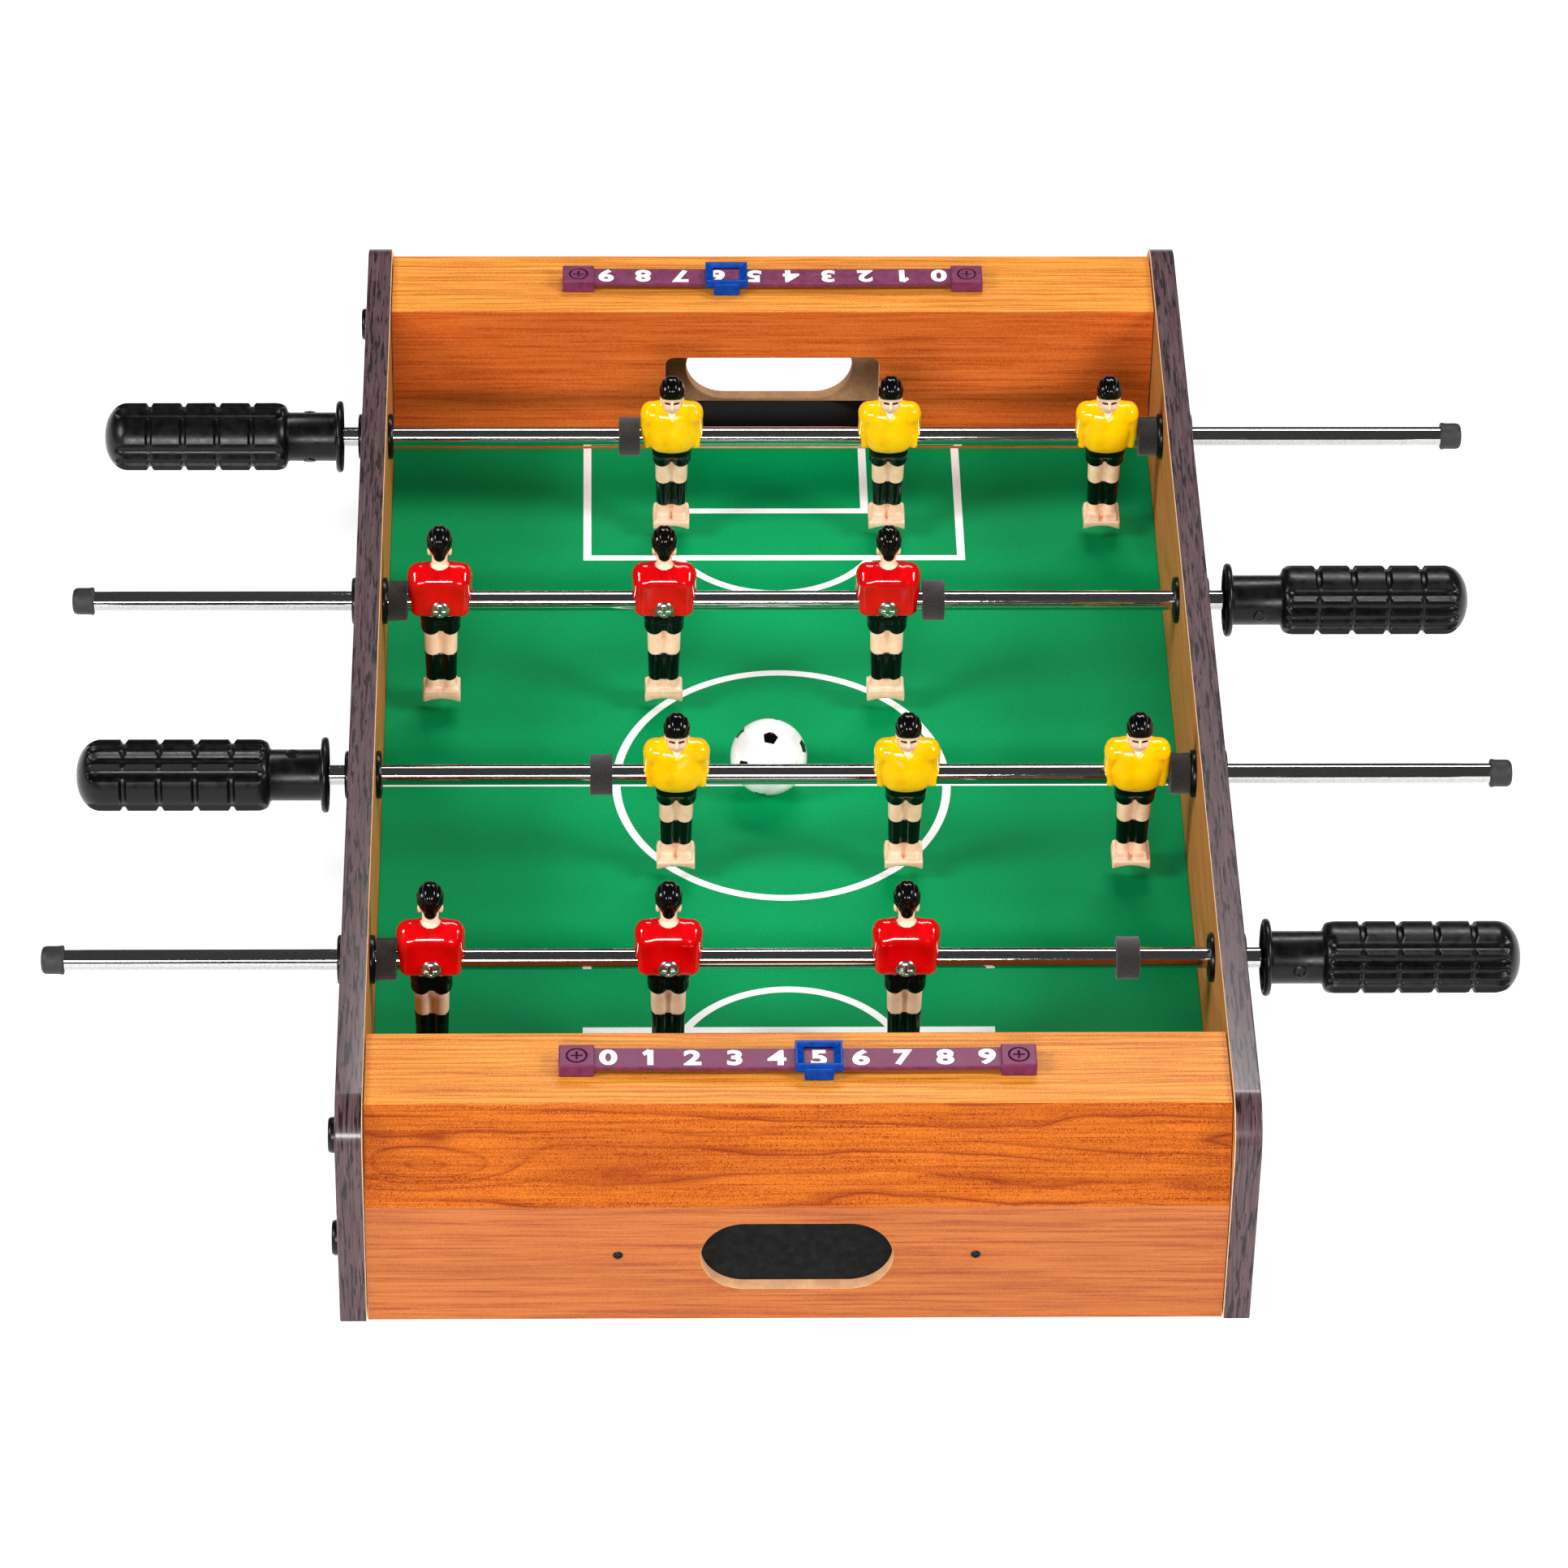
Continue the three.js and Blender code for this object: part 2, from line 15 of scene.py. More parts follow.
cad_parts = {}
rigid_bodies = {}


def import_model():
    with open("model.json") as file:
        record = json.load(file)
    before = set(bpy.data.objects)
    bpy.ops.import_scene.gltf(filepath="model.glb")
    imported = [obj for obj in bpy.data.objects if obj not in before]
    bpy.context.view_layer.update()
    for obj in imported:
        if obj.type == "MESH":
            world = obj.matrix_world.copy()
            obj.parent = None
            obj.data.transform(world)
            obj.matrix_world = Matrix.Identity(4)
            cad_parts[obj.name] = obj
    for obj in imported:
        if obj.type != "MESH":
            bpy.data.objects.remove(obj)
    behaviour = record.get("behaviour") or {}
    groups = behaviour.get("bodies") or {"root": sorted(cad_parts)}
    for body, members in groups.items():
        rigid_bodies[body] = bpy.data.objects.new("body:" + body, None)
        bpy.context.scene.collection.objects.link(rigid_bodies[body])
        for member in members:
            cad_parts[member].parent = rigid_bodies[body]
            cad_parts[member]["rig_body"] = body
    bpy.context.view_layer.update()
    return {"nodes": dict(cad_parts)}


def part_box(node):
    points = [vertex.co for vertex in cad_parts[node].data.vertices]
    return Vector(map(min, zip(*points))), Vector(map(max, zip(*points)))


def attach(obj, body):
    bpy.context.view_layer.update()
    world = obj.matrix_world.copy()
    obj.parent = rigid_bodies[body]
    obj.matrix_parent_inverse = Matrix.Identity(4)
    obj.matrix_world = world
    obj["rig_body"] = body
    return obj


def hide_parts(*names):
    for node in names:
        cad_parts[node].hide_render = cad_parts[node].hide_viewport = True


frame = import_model()

MM = 0.001
RODS = (1, 2, 3, 4)
SIDES = (("left", -1), ("right", 1))
ENDS = (("near", -1), ("far", 1))


# ---------------------------------------------------------------- the frame, in millimetres

def low(node):
    return np.array(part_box(node)[0]) / MM


def high(node):
    return np.array(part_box(node)[1]) / MM


def middle(node):
    return (low(node) + high(node)) / 2


PANEL_OUTER_X = high("side_panel_right")[0]
PANEL_INNER_X = low("side_panel_right")[0]
PANEL_THICKNESS = PANEL_OUTER_X - PANEL_INNER_X
PANEL_HALF_LENGTH = high("side_panel_right")[1]
PANEL_HEIGHT = high("side_panel_right")[2]
GOAL_FACE_Y = low("end_board_far")[1]
BOARD_OUTER_Y = high("end_board_far")[1]
BOARD_TOP_Z = high("end_board_far")[2]
BOARD_HALF_WIDTH = high("end_board_far")[0]
FIELD_TOP_Z = high("playfield")[2]
FIELD_BOTTOM_Z = low("playfield")[2]
ROD_Z = middle("rod_1")[2]


# ---------------------------------------------------------------- shapes

class Shape:
    """Points in millimetres, and faces that each carry the number of their material."""

    def __init__(self, points=(), faces=(), paint=0):
        self.points = np.asarray(points, float).reshape(-1, 3)
        self.faces = [tuple(int(i) for i in face) for face in faces]
        self.paint = [paint] * len(self.faces)

    def __add__(self, other):
        both = Shape(np.vstack([self.points, other.points]))
        shift = len(self.points)
        both.faces = self.faces + [tuple(i + shift for i in face) for face in other.faces]
        both.paint = self.paint + other.paint
        return both

    def moved(self, x=0.0, y=0.0, z=0.0):
        return self.mapped(lambda p: p + np.array([x, y, z]))

    def mapped(self, change):
        """The same shape with every point changed, and its faces still pointing out."""
        made = Shape(change(self.points))
        made.faces = list(self.faces)
        made.paint = list(self.paint)
        return made.outward()

    def outward(self):
        total = 0.0
        for face in self.faces:
            a, b, c = (self.points[i] for i in face[:3])
            total += a @ np.cross(b, c)
            if len(face) == 4:
                total += a @ np.cross(c, self.points[face[3]])
        if total < 0:
            self.faces = [face[::-1] for face in self.faces]
        return self

    def painted(self, rule):
        """Gives each face the material number that rule(centre, normal) returns."""
        for i, face in enumerate(self.faces):
            corners = self.points[list(face)]
            normal = np.cross(corners[1] - corners[0], corners[2] - corners[0])
            normal = normal / max(np.linalg.norm(normal), 1e-12)
            self.paint[i] = rule(corners.mean(0), normal)
        return self


def arc(centre, radius, start, end, steps):
    """Points on a round stretch, from one angle to another in degrees."""
    angles = np.radians(np.linspace(start, end, steps + 1))
    return [(centre[0] + radius * math.cos(a), centre[1] + radius * math.sin(a)) for a in angles]


def rounded_corner(a, b, c, radius, steps):
    """Points on the round that replaces corner b between the straight runs a-b and b-c."""
    a, b, c = (np.array(p, float) for p in (a, b, c))
    come = (b - a) / np.linalg.norm(b - a)
    go = (c - b) / np.linalg.norm(c - b)
    turn = math.acos(np.clip(come @ go, -1, 1))
    reach = radius * math.tan(turn / 2)
    shares = np.linspace(0, 1, steps + 1)
    start, end = b - come * reach, b + go * reach
    return [(1 - t) ** 2 * start + 2 * t * (1 - t) * b + t ** 2 * end for t in shares]


def rounded_box(half_u, half_v, radius, steps=4):
    """A closed outline, anticlockwise, of a rectangle with round corners."""
    corners = [(1, 1, 0), (-1, 1, 90), (-1, -1, 180), (1, -1, 270)]
    loop = []
    for side_u, side_v, start in corners:
        centre = (side_u * (half_u - radius), side_v * (half_v - radius))
        loop += arc(centre, radius, start, start + 90, steps)
    return loop


def mitres(come, go):
    """At each corner, the sum of the left normals of its two runs, and one plus their cosine."""
    normals = [np.stack([-d[:, 1], d[:, 0]], 1) for d in (come, go)]
    return normals[0] + normals[1], 1 + (normals[0] * normals[1]).sum(1, keepdims=True)


def inset(loop, distance):
    """A closed loop moved to the left of its direction of travel, with mitred corners."""
    loop = np.asarray(loop, float)
    come = loop - np.roll(loop, 1, 0)
    go = np.roll(loop, -1, 0) - loop
    come /= np.linalg.norm(come, axis=1, keepdims=True)
    go /= np.linalg.norm(go, axis=1, keepdims=True)
    total, spread = mitres(come, go)
    return loop + distance * total / spread


def encloses(loop, points):
    """Which of the points lie inside a closed loop."""
    inside = np.zeros(len(points), bool)
    x, y = points[:, 0], points[:, 1]
    for (x0, y0), (x1, y1) in zip(loop, np.roll(loop, -1, 0)):
        if y0 != y1:
            crosses = (y0 > y) != (y1 > y)
            inside ^= crosses & (x < (x1 - x0) * (y - y0) / (y1 - y0) + x0)
    return inside


def cap_faces(loops, creases):
    """Triangles that fill the first loop and leave the others open, by point number."""
    flat = [Vector(p) for loop in loops for p in loop]
    edges = []
    start = 0
    for loop in loops:
        count = len(loop)
        edges += [(start + i, start + (i + 1) % count) for i in range(count)]
        start += count
    found = geometry.delaunay_2d_cdt(flat, edges + list(creases), [], 0, 1e-6, True)
    coordinates, triangles, origin = found[0], found[2], found[3]
    centres = np.array([sum((coordinates[i] for i in t), Vector((0, 0))) / 3 for t in triangles])
    keep = encloses(np.array(loops[0]), centres)
    for hole in loops[1:]:
        keep &= ~encloses(np.array(hole), centres)
    return [tuple(origin[i][0] for i in t) for t, kept in zip(triangles, keep) if kept]


def plate(outline, depth, bevel, holes=(), creases=(), steps=3):
    """A flat sheet in (u, v), depth thick along w, with rounded edges all the way round.

    The outline runs anticlockwise and each hole clockwise. Creases are pairs of outline
    points that the triangles of both faces have to keep as edges.
    """
    loops = [np.asarray(loop, float) for loop in (outline, *holes)]
    turns = np.linspace(0, math.pi / 2, steps + 1)
    rise = [(bevel * (1 - math.sin(a)), bevel * (1 - math.cos(a))) for a in turns]
    levels = rise + [(inward, depth - w) for inward, w in rise[::-1]]
    points, faces, first = [], [], []
    for loop in loops:
        count = len(loop)
        first.append(len(points))
        for inward, w in levels:
            points += [(u, v, w) for u, v in inset(loop, inward)]
        for level in range(len(levels) - 1):
            a = first[-1] + level * count
            for i in range(count):
                j = (i + 1) % count
                faces.append((a + i, a + j, a + count + j, a + count + i))
    triangles = cap_faces([inset(loop, bevel) for loop in loops], creases)
    offsets = np.concatenate([np.full(len(loop), start) for loop, start in zip(loops, first)])
    local = np.concatenate([np.arange(len(loop)) for loop in loops])
    sizes = np.concatenate([np.full(len(loop), len(loop)) for loop in loops])
    bottom = offsets + local
    top = bottom + sizes * (len(levels) - 1)
    faces += [tuple(bottom[i] for i in t[::-1]) for t in triangles]
    faces += [tuple(top[i] for i in t) for t in triangles]
    return Shape(points, faces).outward()


def lofted(rings, closed=False):
    """A skin over rings of points that all run the same way. A ring of one point is a tip."""
    steps = max(len(ring) for ring in rings)
    points, faces, numbers = [], [], []
    for ring in rings:
        start = len(points)
        numbers.append([start] * steps if len(ring) == 1 else list(range(start, start + steps)))
        points += ring
    pairs = list(zip(numbers, numbers[1:]))
    if closed:
        pairs.append((numbers[-1], numbers[0]))
    for one, two in pairs:
        for i in range(steps):
            j = (i + 1) % steps
            corners = [one[i], one[j], two[j], two[i]]
            face = [c for k, c in enumerate(corners) if c not in corners[:k]]
            if len(face) > 2:
                faces.append(tuple(face))
    return Shape(points, faces).outward()


def turned(profile, steps=48, closed=False, radius_at=None):
    """A shape turned about the X axis. The profile lists (x, radius) pairs."""
    angles = np.linspace(0, 2 * math.pi, steps, endpoint=False)
    rings = []
    for x, radius in profile:
        if radius < 1e-6:
            rings.append([(x, 0, 0)])
            continue
        radii = [radius_at(x, radius, a) if radius_at else radius for a in angles]
        rings.append([(x, r * math.cos(a), r * math.sin(a)) for r, a in zip(radii, angles)])
    return lofted(rings, closed)


def band(path, width, bottom, top, closed=False):
    """A flat strip of even width that follows a path in (x, y)."""
    path = np.asarray(path, float)
    if closed:
        left, right = inset(path, width / 2), inset(path, -width / 2)
    else:
        step_in = np.diff(path, axis=0)
        step_in /= np.linalg.norm(step_in, axis=1, keepdims=True)
        come = np.vstack([step_in[:1], step_in])
        go = np.vstack([step_in, step_in[-1:]])
        total, spread = mitres(come, go)
        side = total / spread
        left, right = path + side * width / 2, path - side * width / 2
    points = []
    for (lx, ly), (rx, ry) in zip(left, right):
        points += [(lx, ly, bottom), (rx, ry, bottom), (rx, ry, top), (lx, ly, top)]
    count = len(path)
    faces = []
    for i in range(count if closed else count - 1):
        a, b = 4 * i, 4 * ((i + 1) % count)
        faces += [(a + k, b + k, b + (k + 1) % 4, a + (k + 1) % 4) for k in range(4)]
    if not closed:
        last = 4 * (count - 1)
        faces += [(0, 1, 2, 3), (last + 3, last + 2, last + 1, last)]
    return Shape(points, faces).outward()


# ---------------------------------------------------------------- rounded solids

def length_of(vectors):
    return np.sqrt((vectors ** 2).sum(-1))


def mirrored(p):
    """Points folded onto the +X half, so that one limb makes a pair."""
    folded = p.copy()
    folded[..., 0] = np.abs(folded[..., 0])
    return folded


def egg(p, centre, radii):
    """A ball stretched along the axes."""
    q = p - np.array(centre)
    radii = np.array(radii)
    k0 = length_of(q / radii)
    k1 = length_of(q / radii ** 2)
    return np.where(k1 < 1e-6, -radii.min(), k0 * (k0 - 1) / np.maximum(k1, 1e-6))


def limb(p, start, end, start_radius, end_radius, depth=1.0):
    """A tapering round bar. depth over 1 makes it deeper from front to back."""
    stretch = np.array([1, depth, 1])
    a, b = np.array(start) / stretch, np.array(end) / stretch
    q = p / stretch - a
    t = np.clip(q @ (b - a) / ((b - a) @ (b - a)), 0, 1)
    return length_of(q - t[..., None] * (b - a)) - (start_radius + t * (end_radius - start_radius))


def slab(p, centre, half, rounding):
    """A box of these half sizes, with round edges."""
    q = np.abs(p - np.array(centre)) - (np.array(half) - rounding)
    return length_of(np.maximum(q, 0)) + np.minimum(q.max(-1), 0) - rounding


def melt(a, b, softness):
    """Both shapes joined, with a soft hollow where they meet."""
    share = np.clip(0.5 + 0.5 * (b - a) / softness, 0, 1)
    return b * (1 - share) + a * share - softness * share * (1 - share)


def carve(a, b, softness):
    """Shape a without shape b, with a softened edge."""
    return -melt(-a, b, softness)


def both(a, b, softness):
    """Where the two shapes overlap, with a softened edge."""
    return -melt(-a, -b, softness)


def cast(distance, lowest, highest, step):
    """A Shape of the surface where distance(points) is zero, made by surface nets."""
    axes = [np.arange(a, b + step, step) for a, b in zip(lowest, highest)]
    nodes = np.stack(np.meshgrid(*axes, indexing="ij"), -1)
    value = distance(nodes)
    inside = value < 0
    cells = [n - 1 for n in value.shape]
    corners = [(i, j, k) for i in (0, 1) for j in (0, 1) for k in (0, 1)]

    def at(array, corner):
        return array[tuple(slice(c, c + n) for c, n in zip(corner, cells))]

    filled = sum(at(inside, corner).astype(int) for corner in corners)
    mixed = (filled > 0) & (filled < 8)
    sums = np.zeros(mixed.shape + (3,))
    counts = np.zeros(mixed.shape)
    for corner in corners:
        for axis in (d for d in range(3) if corner[d] == 0):
            other = tuple(1 if d == axis else corner[d] for d in range(3))
            va, vb = at(value, corner), at(value, other)
            cut = (va < 0) != (vb < 0)
            share = va / np.where(cut, va - vb, 1)
            for d in range(3):
                sums[..., d] += np.where(cut, share if d == axis else corner[d], 0)
            counts += cut
    where = np.argwhere(mixed)
    points = np.array(lowest) + (where + sums[mixed] / counts[mixed][:, None]) * step
    number = np.full(mixed.shape, -1)
    number[mixed] = np.arange(len(where))
    faces = net_faces(inside, number)
    return Shape(settled(distance, points, step), faces)


def net_faces(inside, number):
    """One quad for each grid edge that crosses the surface."""
    faces = []
    for axis in range(3):
        b, c = (axis + 1) % 3, (axis + 2) % 3
        count = inside.shape[axis]
        first = np.take(inside, range(count - 1), axis)
        second = np.take(inside, range(1, count), axis)
        edges = np.argwhere(first != second)
        edges = edges[(edges[:, b] > 0) & (edges[:, c] > 0)]
        edges = edges[(edges[:, b] < number.shape[b]) & (edges[:, c] < number.shape[c])]
        quads = []
        for back_b, back_c in ((1, 1), (0, 1), (0, 0), (1, 0)):
            cell = edges.copy()
            cell[:, b] -= back_b
            cell[:, c] -= back_c
            quads.append(number[tuple(cell.T)])
        quads = np.stack(quads, 1)
        leaves = first[tuple(edges.T)]
        quads[~leaves] = quads[~leaves][:, ::-1]
        faces += quads.tolist()
    return faces


def settled(distance, points, step):
    """Moves the net's points onto the true surface."""
    probe = 0.04
    for _ in range(3):
        slope = np.zeros_like(points)
        for axis in range(3):
            reach = np.zeros(3)
            reach[axis] = probe
            slope[:, axis] = (distance(points + reach) - distance(points - reach)) / (2 * probe)
        size = np.maximum(length_of(slope), 0.2)
        move = np.clip(distance(points) / size, -step / 3, step / 3)
        points = points - slope / size[:, None] * move[:, None]
    return points


# ---------------------------------------------------------------- materials

def tone(code):
    """A colour written as rrggbb, as the linear values that a shader takes."""
    values = [int(code[i:i + 2], 16) / 255 for i in (0, 2, 4)]
    linear = [v / 12.92 if v <= 0.04045 else ((v + 0.055) / 1.055) ** 2.4 for v in values]
    return (*linear, 1.0)


# Nearly all the values of a noise lie between these two.
NOISE_LOW = 0.3
NOISE_HIGH = 0.7


class Finish:
    """A Principled material, built node by node, with its texture fixed to the piece."""

    def __init__(self, name, **sockets):
        self.material = bpy.data.materials.new(name)
        self.material.use_nodes = True
        self.tree = self.material.node_tree
        self.shader = self.tree.nodes["Principled BSDF"]
        for key, value in sockets.items():
            label = key.replace("_", " ").title().replace("Ior", "IOR")
            self.shader.inputs[label].default_value = value

    def node(self, kind, inputs=None, **settings):
        made = self.tree.nodes.new(kind)
        for key, value in settings.items():
            setattr(made, key, value)
        for key, value in (inputs or {}).items():
            self.feed(made.inputs[key], value)
        return made

    def feed(self, socket, value):
        if isinstance(value, bpy.types.NodeSocket):
            self.tree.links.new(value, socket)
        else:
            socket.default_value = value

    def place(self, per_mm=(1, 1, 1), shift=(0, 0, 0)):
        """Coordinates on the piece. per_mm is how fast a texture runs along each axis."""
        source = self.node("ShaderNodeTexCoord").outputs["Object"]
        scale = [rate / MM for rate in per_mm]
        inputs = {"Vector": source, "Scale": scale, "Location": shift}
        return self.node("ShaderNodeMapping", inputs).outputs["Vector"]

    def noise(self, per_mm, detail=3.0, roughness=0.55, distortion=0.0, shift=(0, 0, 0)):
        rates = per_mm if isinstance(per_mm, tuple) else (per_mm,) * 3
        inputs = {
            "Vector": self.place(rates, shift),
            "Scale": 1.0,
            "Detail": detail,
            "Roughness": roughness,
            "Distortion": distortion,
        }
        return self.node("ShaderNodeTexNoise", inputs).outputs["Fac"]

    def cells(self, per_mm, feature="F1"):
        rates = per_mm if isinstance(per_mm, tuple) else (per_mm,) * 3
        inputs = {"Vector": self.place(rates), "Scale": 1.0}
        return self.node("ShaderNodeTexVoronoi", inputs, feature=feature).outputs["Distance"]

    def math(self, operation, *values):
        made = self.node("ShaderNodeMath", operation=operation)
        for socket, value in zip(made.inputs, values):
            self.feed(socket, value)
        return made.outputs[0]

    def ramp(self, value, *stops):
        """A smooth run of colours. Each stop is a place and a colour or a grey level."""
        made = self.node("ShaderNodeValToRGB", {"Fac": value})
        elements = made.color_ramp.elements
        while len(elements) < len(stops):
            elements.new(0.5)
        for element, (position, colour) in zip(elements, stops):
            element.position = position
            element.color = colour if isinstance(colour, tuple) else (colour, colour, colour, 1)
        return made.outputs["Color"]

    def mix(self, share, a, b, blend="MIX"):
        made = self.node("ShaderNodeMix", data_type="RGBA", blend_type=blend)
        self.feed(made.inputs["Factor"], share)
        self.feed(made.inputs[6], a)
        self.feed(made.inputs[7], b)
        return made.outputs[2]

    def colour(self, value):
        self.feed(self.shader.inputs["Base Color"], value)
        return self

    def gloss(self, value, smoothest, roughest):
        """Roughness that follows a noise, from the smoothest value to the roughest."""
        inputs = {
            "Value": value,
            "From Min": NOISE_LOW,
            "From Max": NOISE_HIGH,
            "To Min": smoothest,
            "To Max": roughest,
        }
        self.feed(self.shader.inputs["Roughness"], self.node("ShaderNodeMapRange", inputs).outputs[0])
        return self

    def bump(self, height, depth_mm, strength=1.0):
        inputs = {"Height": height, "Distance": depth_mm * MM, "Strength": strength}
        made = self.node("ShaderNodeBump", inputs)
        below = self.shader.inputs["Normal"].links
        if below:
            self.feed(made.inputs["Normal"], below[0].from_socket)
        self.feed(self.shader.inputs["Normal"], made.outputs["Normal"])
        return self


def grain_rates(along):
    """A function that gives a texture's rates on the axes along the grain and across it."""
    def rates(length, across):
        return tuple(length if axis in along else across for axis in (0, 1, 2))

    return rates


def wood_foil(name, dark, base, light, along, rings=None, knots=(), sand=0.2,
              gloss=(0.36, 0.5), specular=0.3, shift=0.0):
    """Printed wood foil. along is the grain's axis, sand the share of sandy speckle. rings
    gives the axis across the year lines, their spacing in mm and how far they wander."""
    rates = grain_rates((along,))
    look = Finish(name, specular_ior_level=specular)
    offset = (shift, shift, shift)
    fibre = look.noise(rates(0.03, 1.9), detail=4, roughness=0.68, shift=offset)
    streak = look.noise(rates(0.013, 0.5), detail=5, roughness=0.66, distortion=0.3, shift=offset)
    speckle = look.noise(2.2, detail=2, roughness=0.7, shift=offset)
    cloud = look.noise(rates(0.011, 0.06), detail=3, shift=offset)
    level = look.math("MULTIPLY_ADD", fibre, 0.5, look.math("MULTIPLY", streak, 0.5))
    level = look.math("MULTIPLY_ADD", speckle, sand, look.math("MULTIPLY", level, 1 - sand))
    tint = look.ramp(level, (0.41, dark), (0.49, base), (0.58, light))
    tint = look.mix(look.ramp(cloud, (0.42, 0.0), (0.66, 0.45)), tint, look.mix(0.45, tint, dark))
    if rings:
        lines = year_lines(look, rates, offset, rings, knots)
        tint = look.mix(lines, tint, dark)
    pores = look.noise(rates(0.02, 1.3), detail=3, roughness=0.6, shift=offset)
    tint = look.mix(look.ramp(pores, (0.56, 0.0), (0.64, 0.4)), tint, dark)
    look.colour(tint).gloss(fibre, *gloss).bump(fibre, 0.02, 0.35)
    return look.material


def year_lines(look, rates, offset, rings, knots):
    """Long thin wavy lines with one soft side, which bend around the knots."""
    across, spacing, wander = rings
    steps = look.place((1 / spacing,) * 3, offset)
    field = look.node("ShaderNodeSeparateXYZ", {"Vector": steps}).outputs[across]
    drift = look.noise(rates(0.009, 0.04), detail=3, roughness=0.5, shift=offset)
    field = look.math("MULTIPLY_ADD", drift, wander, field)
    for place, size in knots:
        field = look.math("ADD", field, knot_field(look, place, size))
    wave = look.math("FRACT", field)
    line = look.ramp(
        wave, (0.0, 0.95), (0.07, 0.5), (0.28, 0.06), (0.88, 0.0), (0.96, 0.4), (1.0, 0.95))
    strength = look.noise(rates(0.008, 0.11), detail=2, shift=offset)
    return look.math("MULTIPLY", line, look.ramp(strength, (0.36, 0.2), (0.58, 1.0)))


KNOT_LINES = 2.3


def knot_field(look, place, size):
    """A round rise in the ring field, as many lines high as bend around the knot."""
    offset = look.node("ShaderNodeVectorMath", operation="SUBTRACT")
    look.feed(offset.inputs[0], look.node("ShaderNodeTexCoord").outputs["Object"])
    look.feed(offset.inputs[1], [v * MM for v in place])
    spread = look.node("ShaderNodeVectorMath", operation="DIVIDE")
    look.feed(spread.inputs[0], offset.outputs[0])
    look.feed(spread.inputs[1], [v * MM for v in size])
    reach = look.node("ShaderNodeVectorMath", operation="LENGTH")
    look.feed(reach.inputs[0], spread.outputs[0])
    fall = look.math("MULTIPLY", look.math("POWER", reach.outputs["Value"], 2.0), -1.0)
    return look.math("MULTIPLY", look.math("EXPONENT", fall), KNOT_LINES)


def wenge(name, along):
    """Dark open-pored foil with short black dashes. along holds the axes the grain follows."""
    rates = grain_rates(along)
    look = Finish(name, specular_ior_level=0.2, coat_weight=0.4, coat_roughness=0.15)
    cloud = look.noise(rates(0.012, 0.3), detail=3)
    fibre = look.noise(rates(0.05, 2.0), detail=4, roughness=0.6)
    tint = look.ramp(fibre, (0.32, tone("3a272b")), (0.5, tone("503a3e")), (0.7, tone("604a4e")))
    tint = look.mix(look.ramp(cloud, (0.4, 0.0), (0.7, 0.3)), tint, tone("33242a"))
    dashes = look.noise(rates(0.075, 1.0), detail=3, roughness=0.6, distortion=0.15, shift=(3, 7, 1))
    pore = look.ramp(dashes, (0.535, 0.0), (0.57, 0.95))
    tint = look.mix(pore, tint, tone("120a0d"))
    look.colour(tint).gloss(fibre, 0.32, 0.48)
    look.bump(fibre, 0.03, 0.4).bump(look.math("MULTIPLY", dashes, -1.0), 0.05, 0.3)
    return look.material


def fibreboard():
    look = Finish("fibreboard", specular_ior_level=0.25)
    grit = look.noise(3.2, detail=5, roughness=0.7)
    cloud = look.noise(0.12, detail=2)
    tint = look.ramp(grit, (0.3, tone("a8784f")), (0.5, tone("d29f72")), (0.72, tone("e8c09a")))
    tint = look.mix(look.ramp(cloud, (0.4, 0.0), (0.7, 0.4)), tint, tone("8d6440"))
    look.colour(tint).gloss(grit, 0.8, 0.95).bump(grit, 0.12, 0.6)
    return look.material


def paper_edge():
    look = Finish("foil_edge", roughness=0.6)
    wear = look.noise(1.3, detail=3)
    look.colour(look.ramp(wear, (0.3, tone("d9b083")), (0.6, tone("f2cfa6"))))
    look.bump(wear, 0.03, 0.3)
    return look.material


def field_green():
    look = Finish("field_green", specular_ior_level=0.06)
    grain = look.noise(2.1, detail=3, roughness=0.7)
    blotch = look.noise(0.02, detail=2)
    tint = look.ramp(grain, (0.3, tone("007b44")), (0.52, tone("009152")), (0.75, tone("00a560")))
    tint = look.mix(look.ramp(blotch, (0.35, 0.0), (0.7, 0.3)), tint, tone("008048"))
    look.colour(tint).gloss(grain, 0.5, 0.66).bump(grain, 0.05, 0.35)
    return look.material


def line_white():
    look = Finish("line_white", specular_ior_level=0.35)
    grain = look.noise(1.9, detail=4, roughness=0.7)
    look.colour(look.ramp(grain, (0.25, tone("dfe6e2")), (0.5, tone("fbfdfb"))))
    look.gloss(grain, 0.45, 0.6).bump(grain, 0.03, 0.3)
    return look.material


def chrome(name, smoothest, roughest):
    look = Finish(name, metallic=1.0)
    scratch = look.noise((0.5, 6.0, 6.0), detail=3, roughness=0.7)
    pits = look.noise(1.6, detail=4, roughness=0.75, shift=(5, 5, 5))
    tint = look.ramp(pits, (0.3, tone("8e8d8b")), (0.42, tone("bdbcba")), (0.7, tone("d4d3d1")))
    look.colour(tint).gloss(scratch, smoothest, roughest).bump(scratch, 0.003, 0.05)
    return look.material


def dark_plastic(name, dark, light, smoothest, roughest, grain=0.03, specular=0.5):
    look = Finish(name, specular_ior_level=specular)
    mottle = look.noise(0.35, detail=4)
    texture = look.noise(4.5, detail=2)
    look.colour(look.ramp(mottle, (0.3, tone(dark)), (0.7, tone(light))))
    look.gloss(mottle, smoothest, roughest).bump(texture, grain, 0.2)
    return look.material


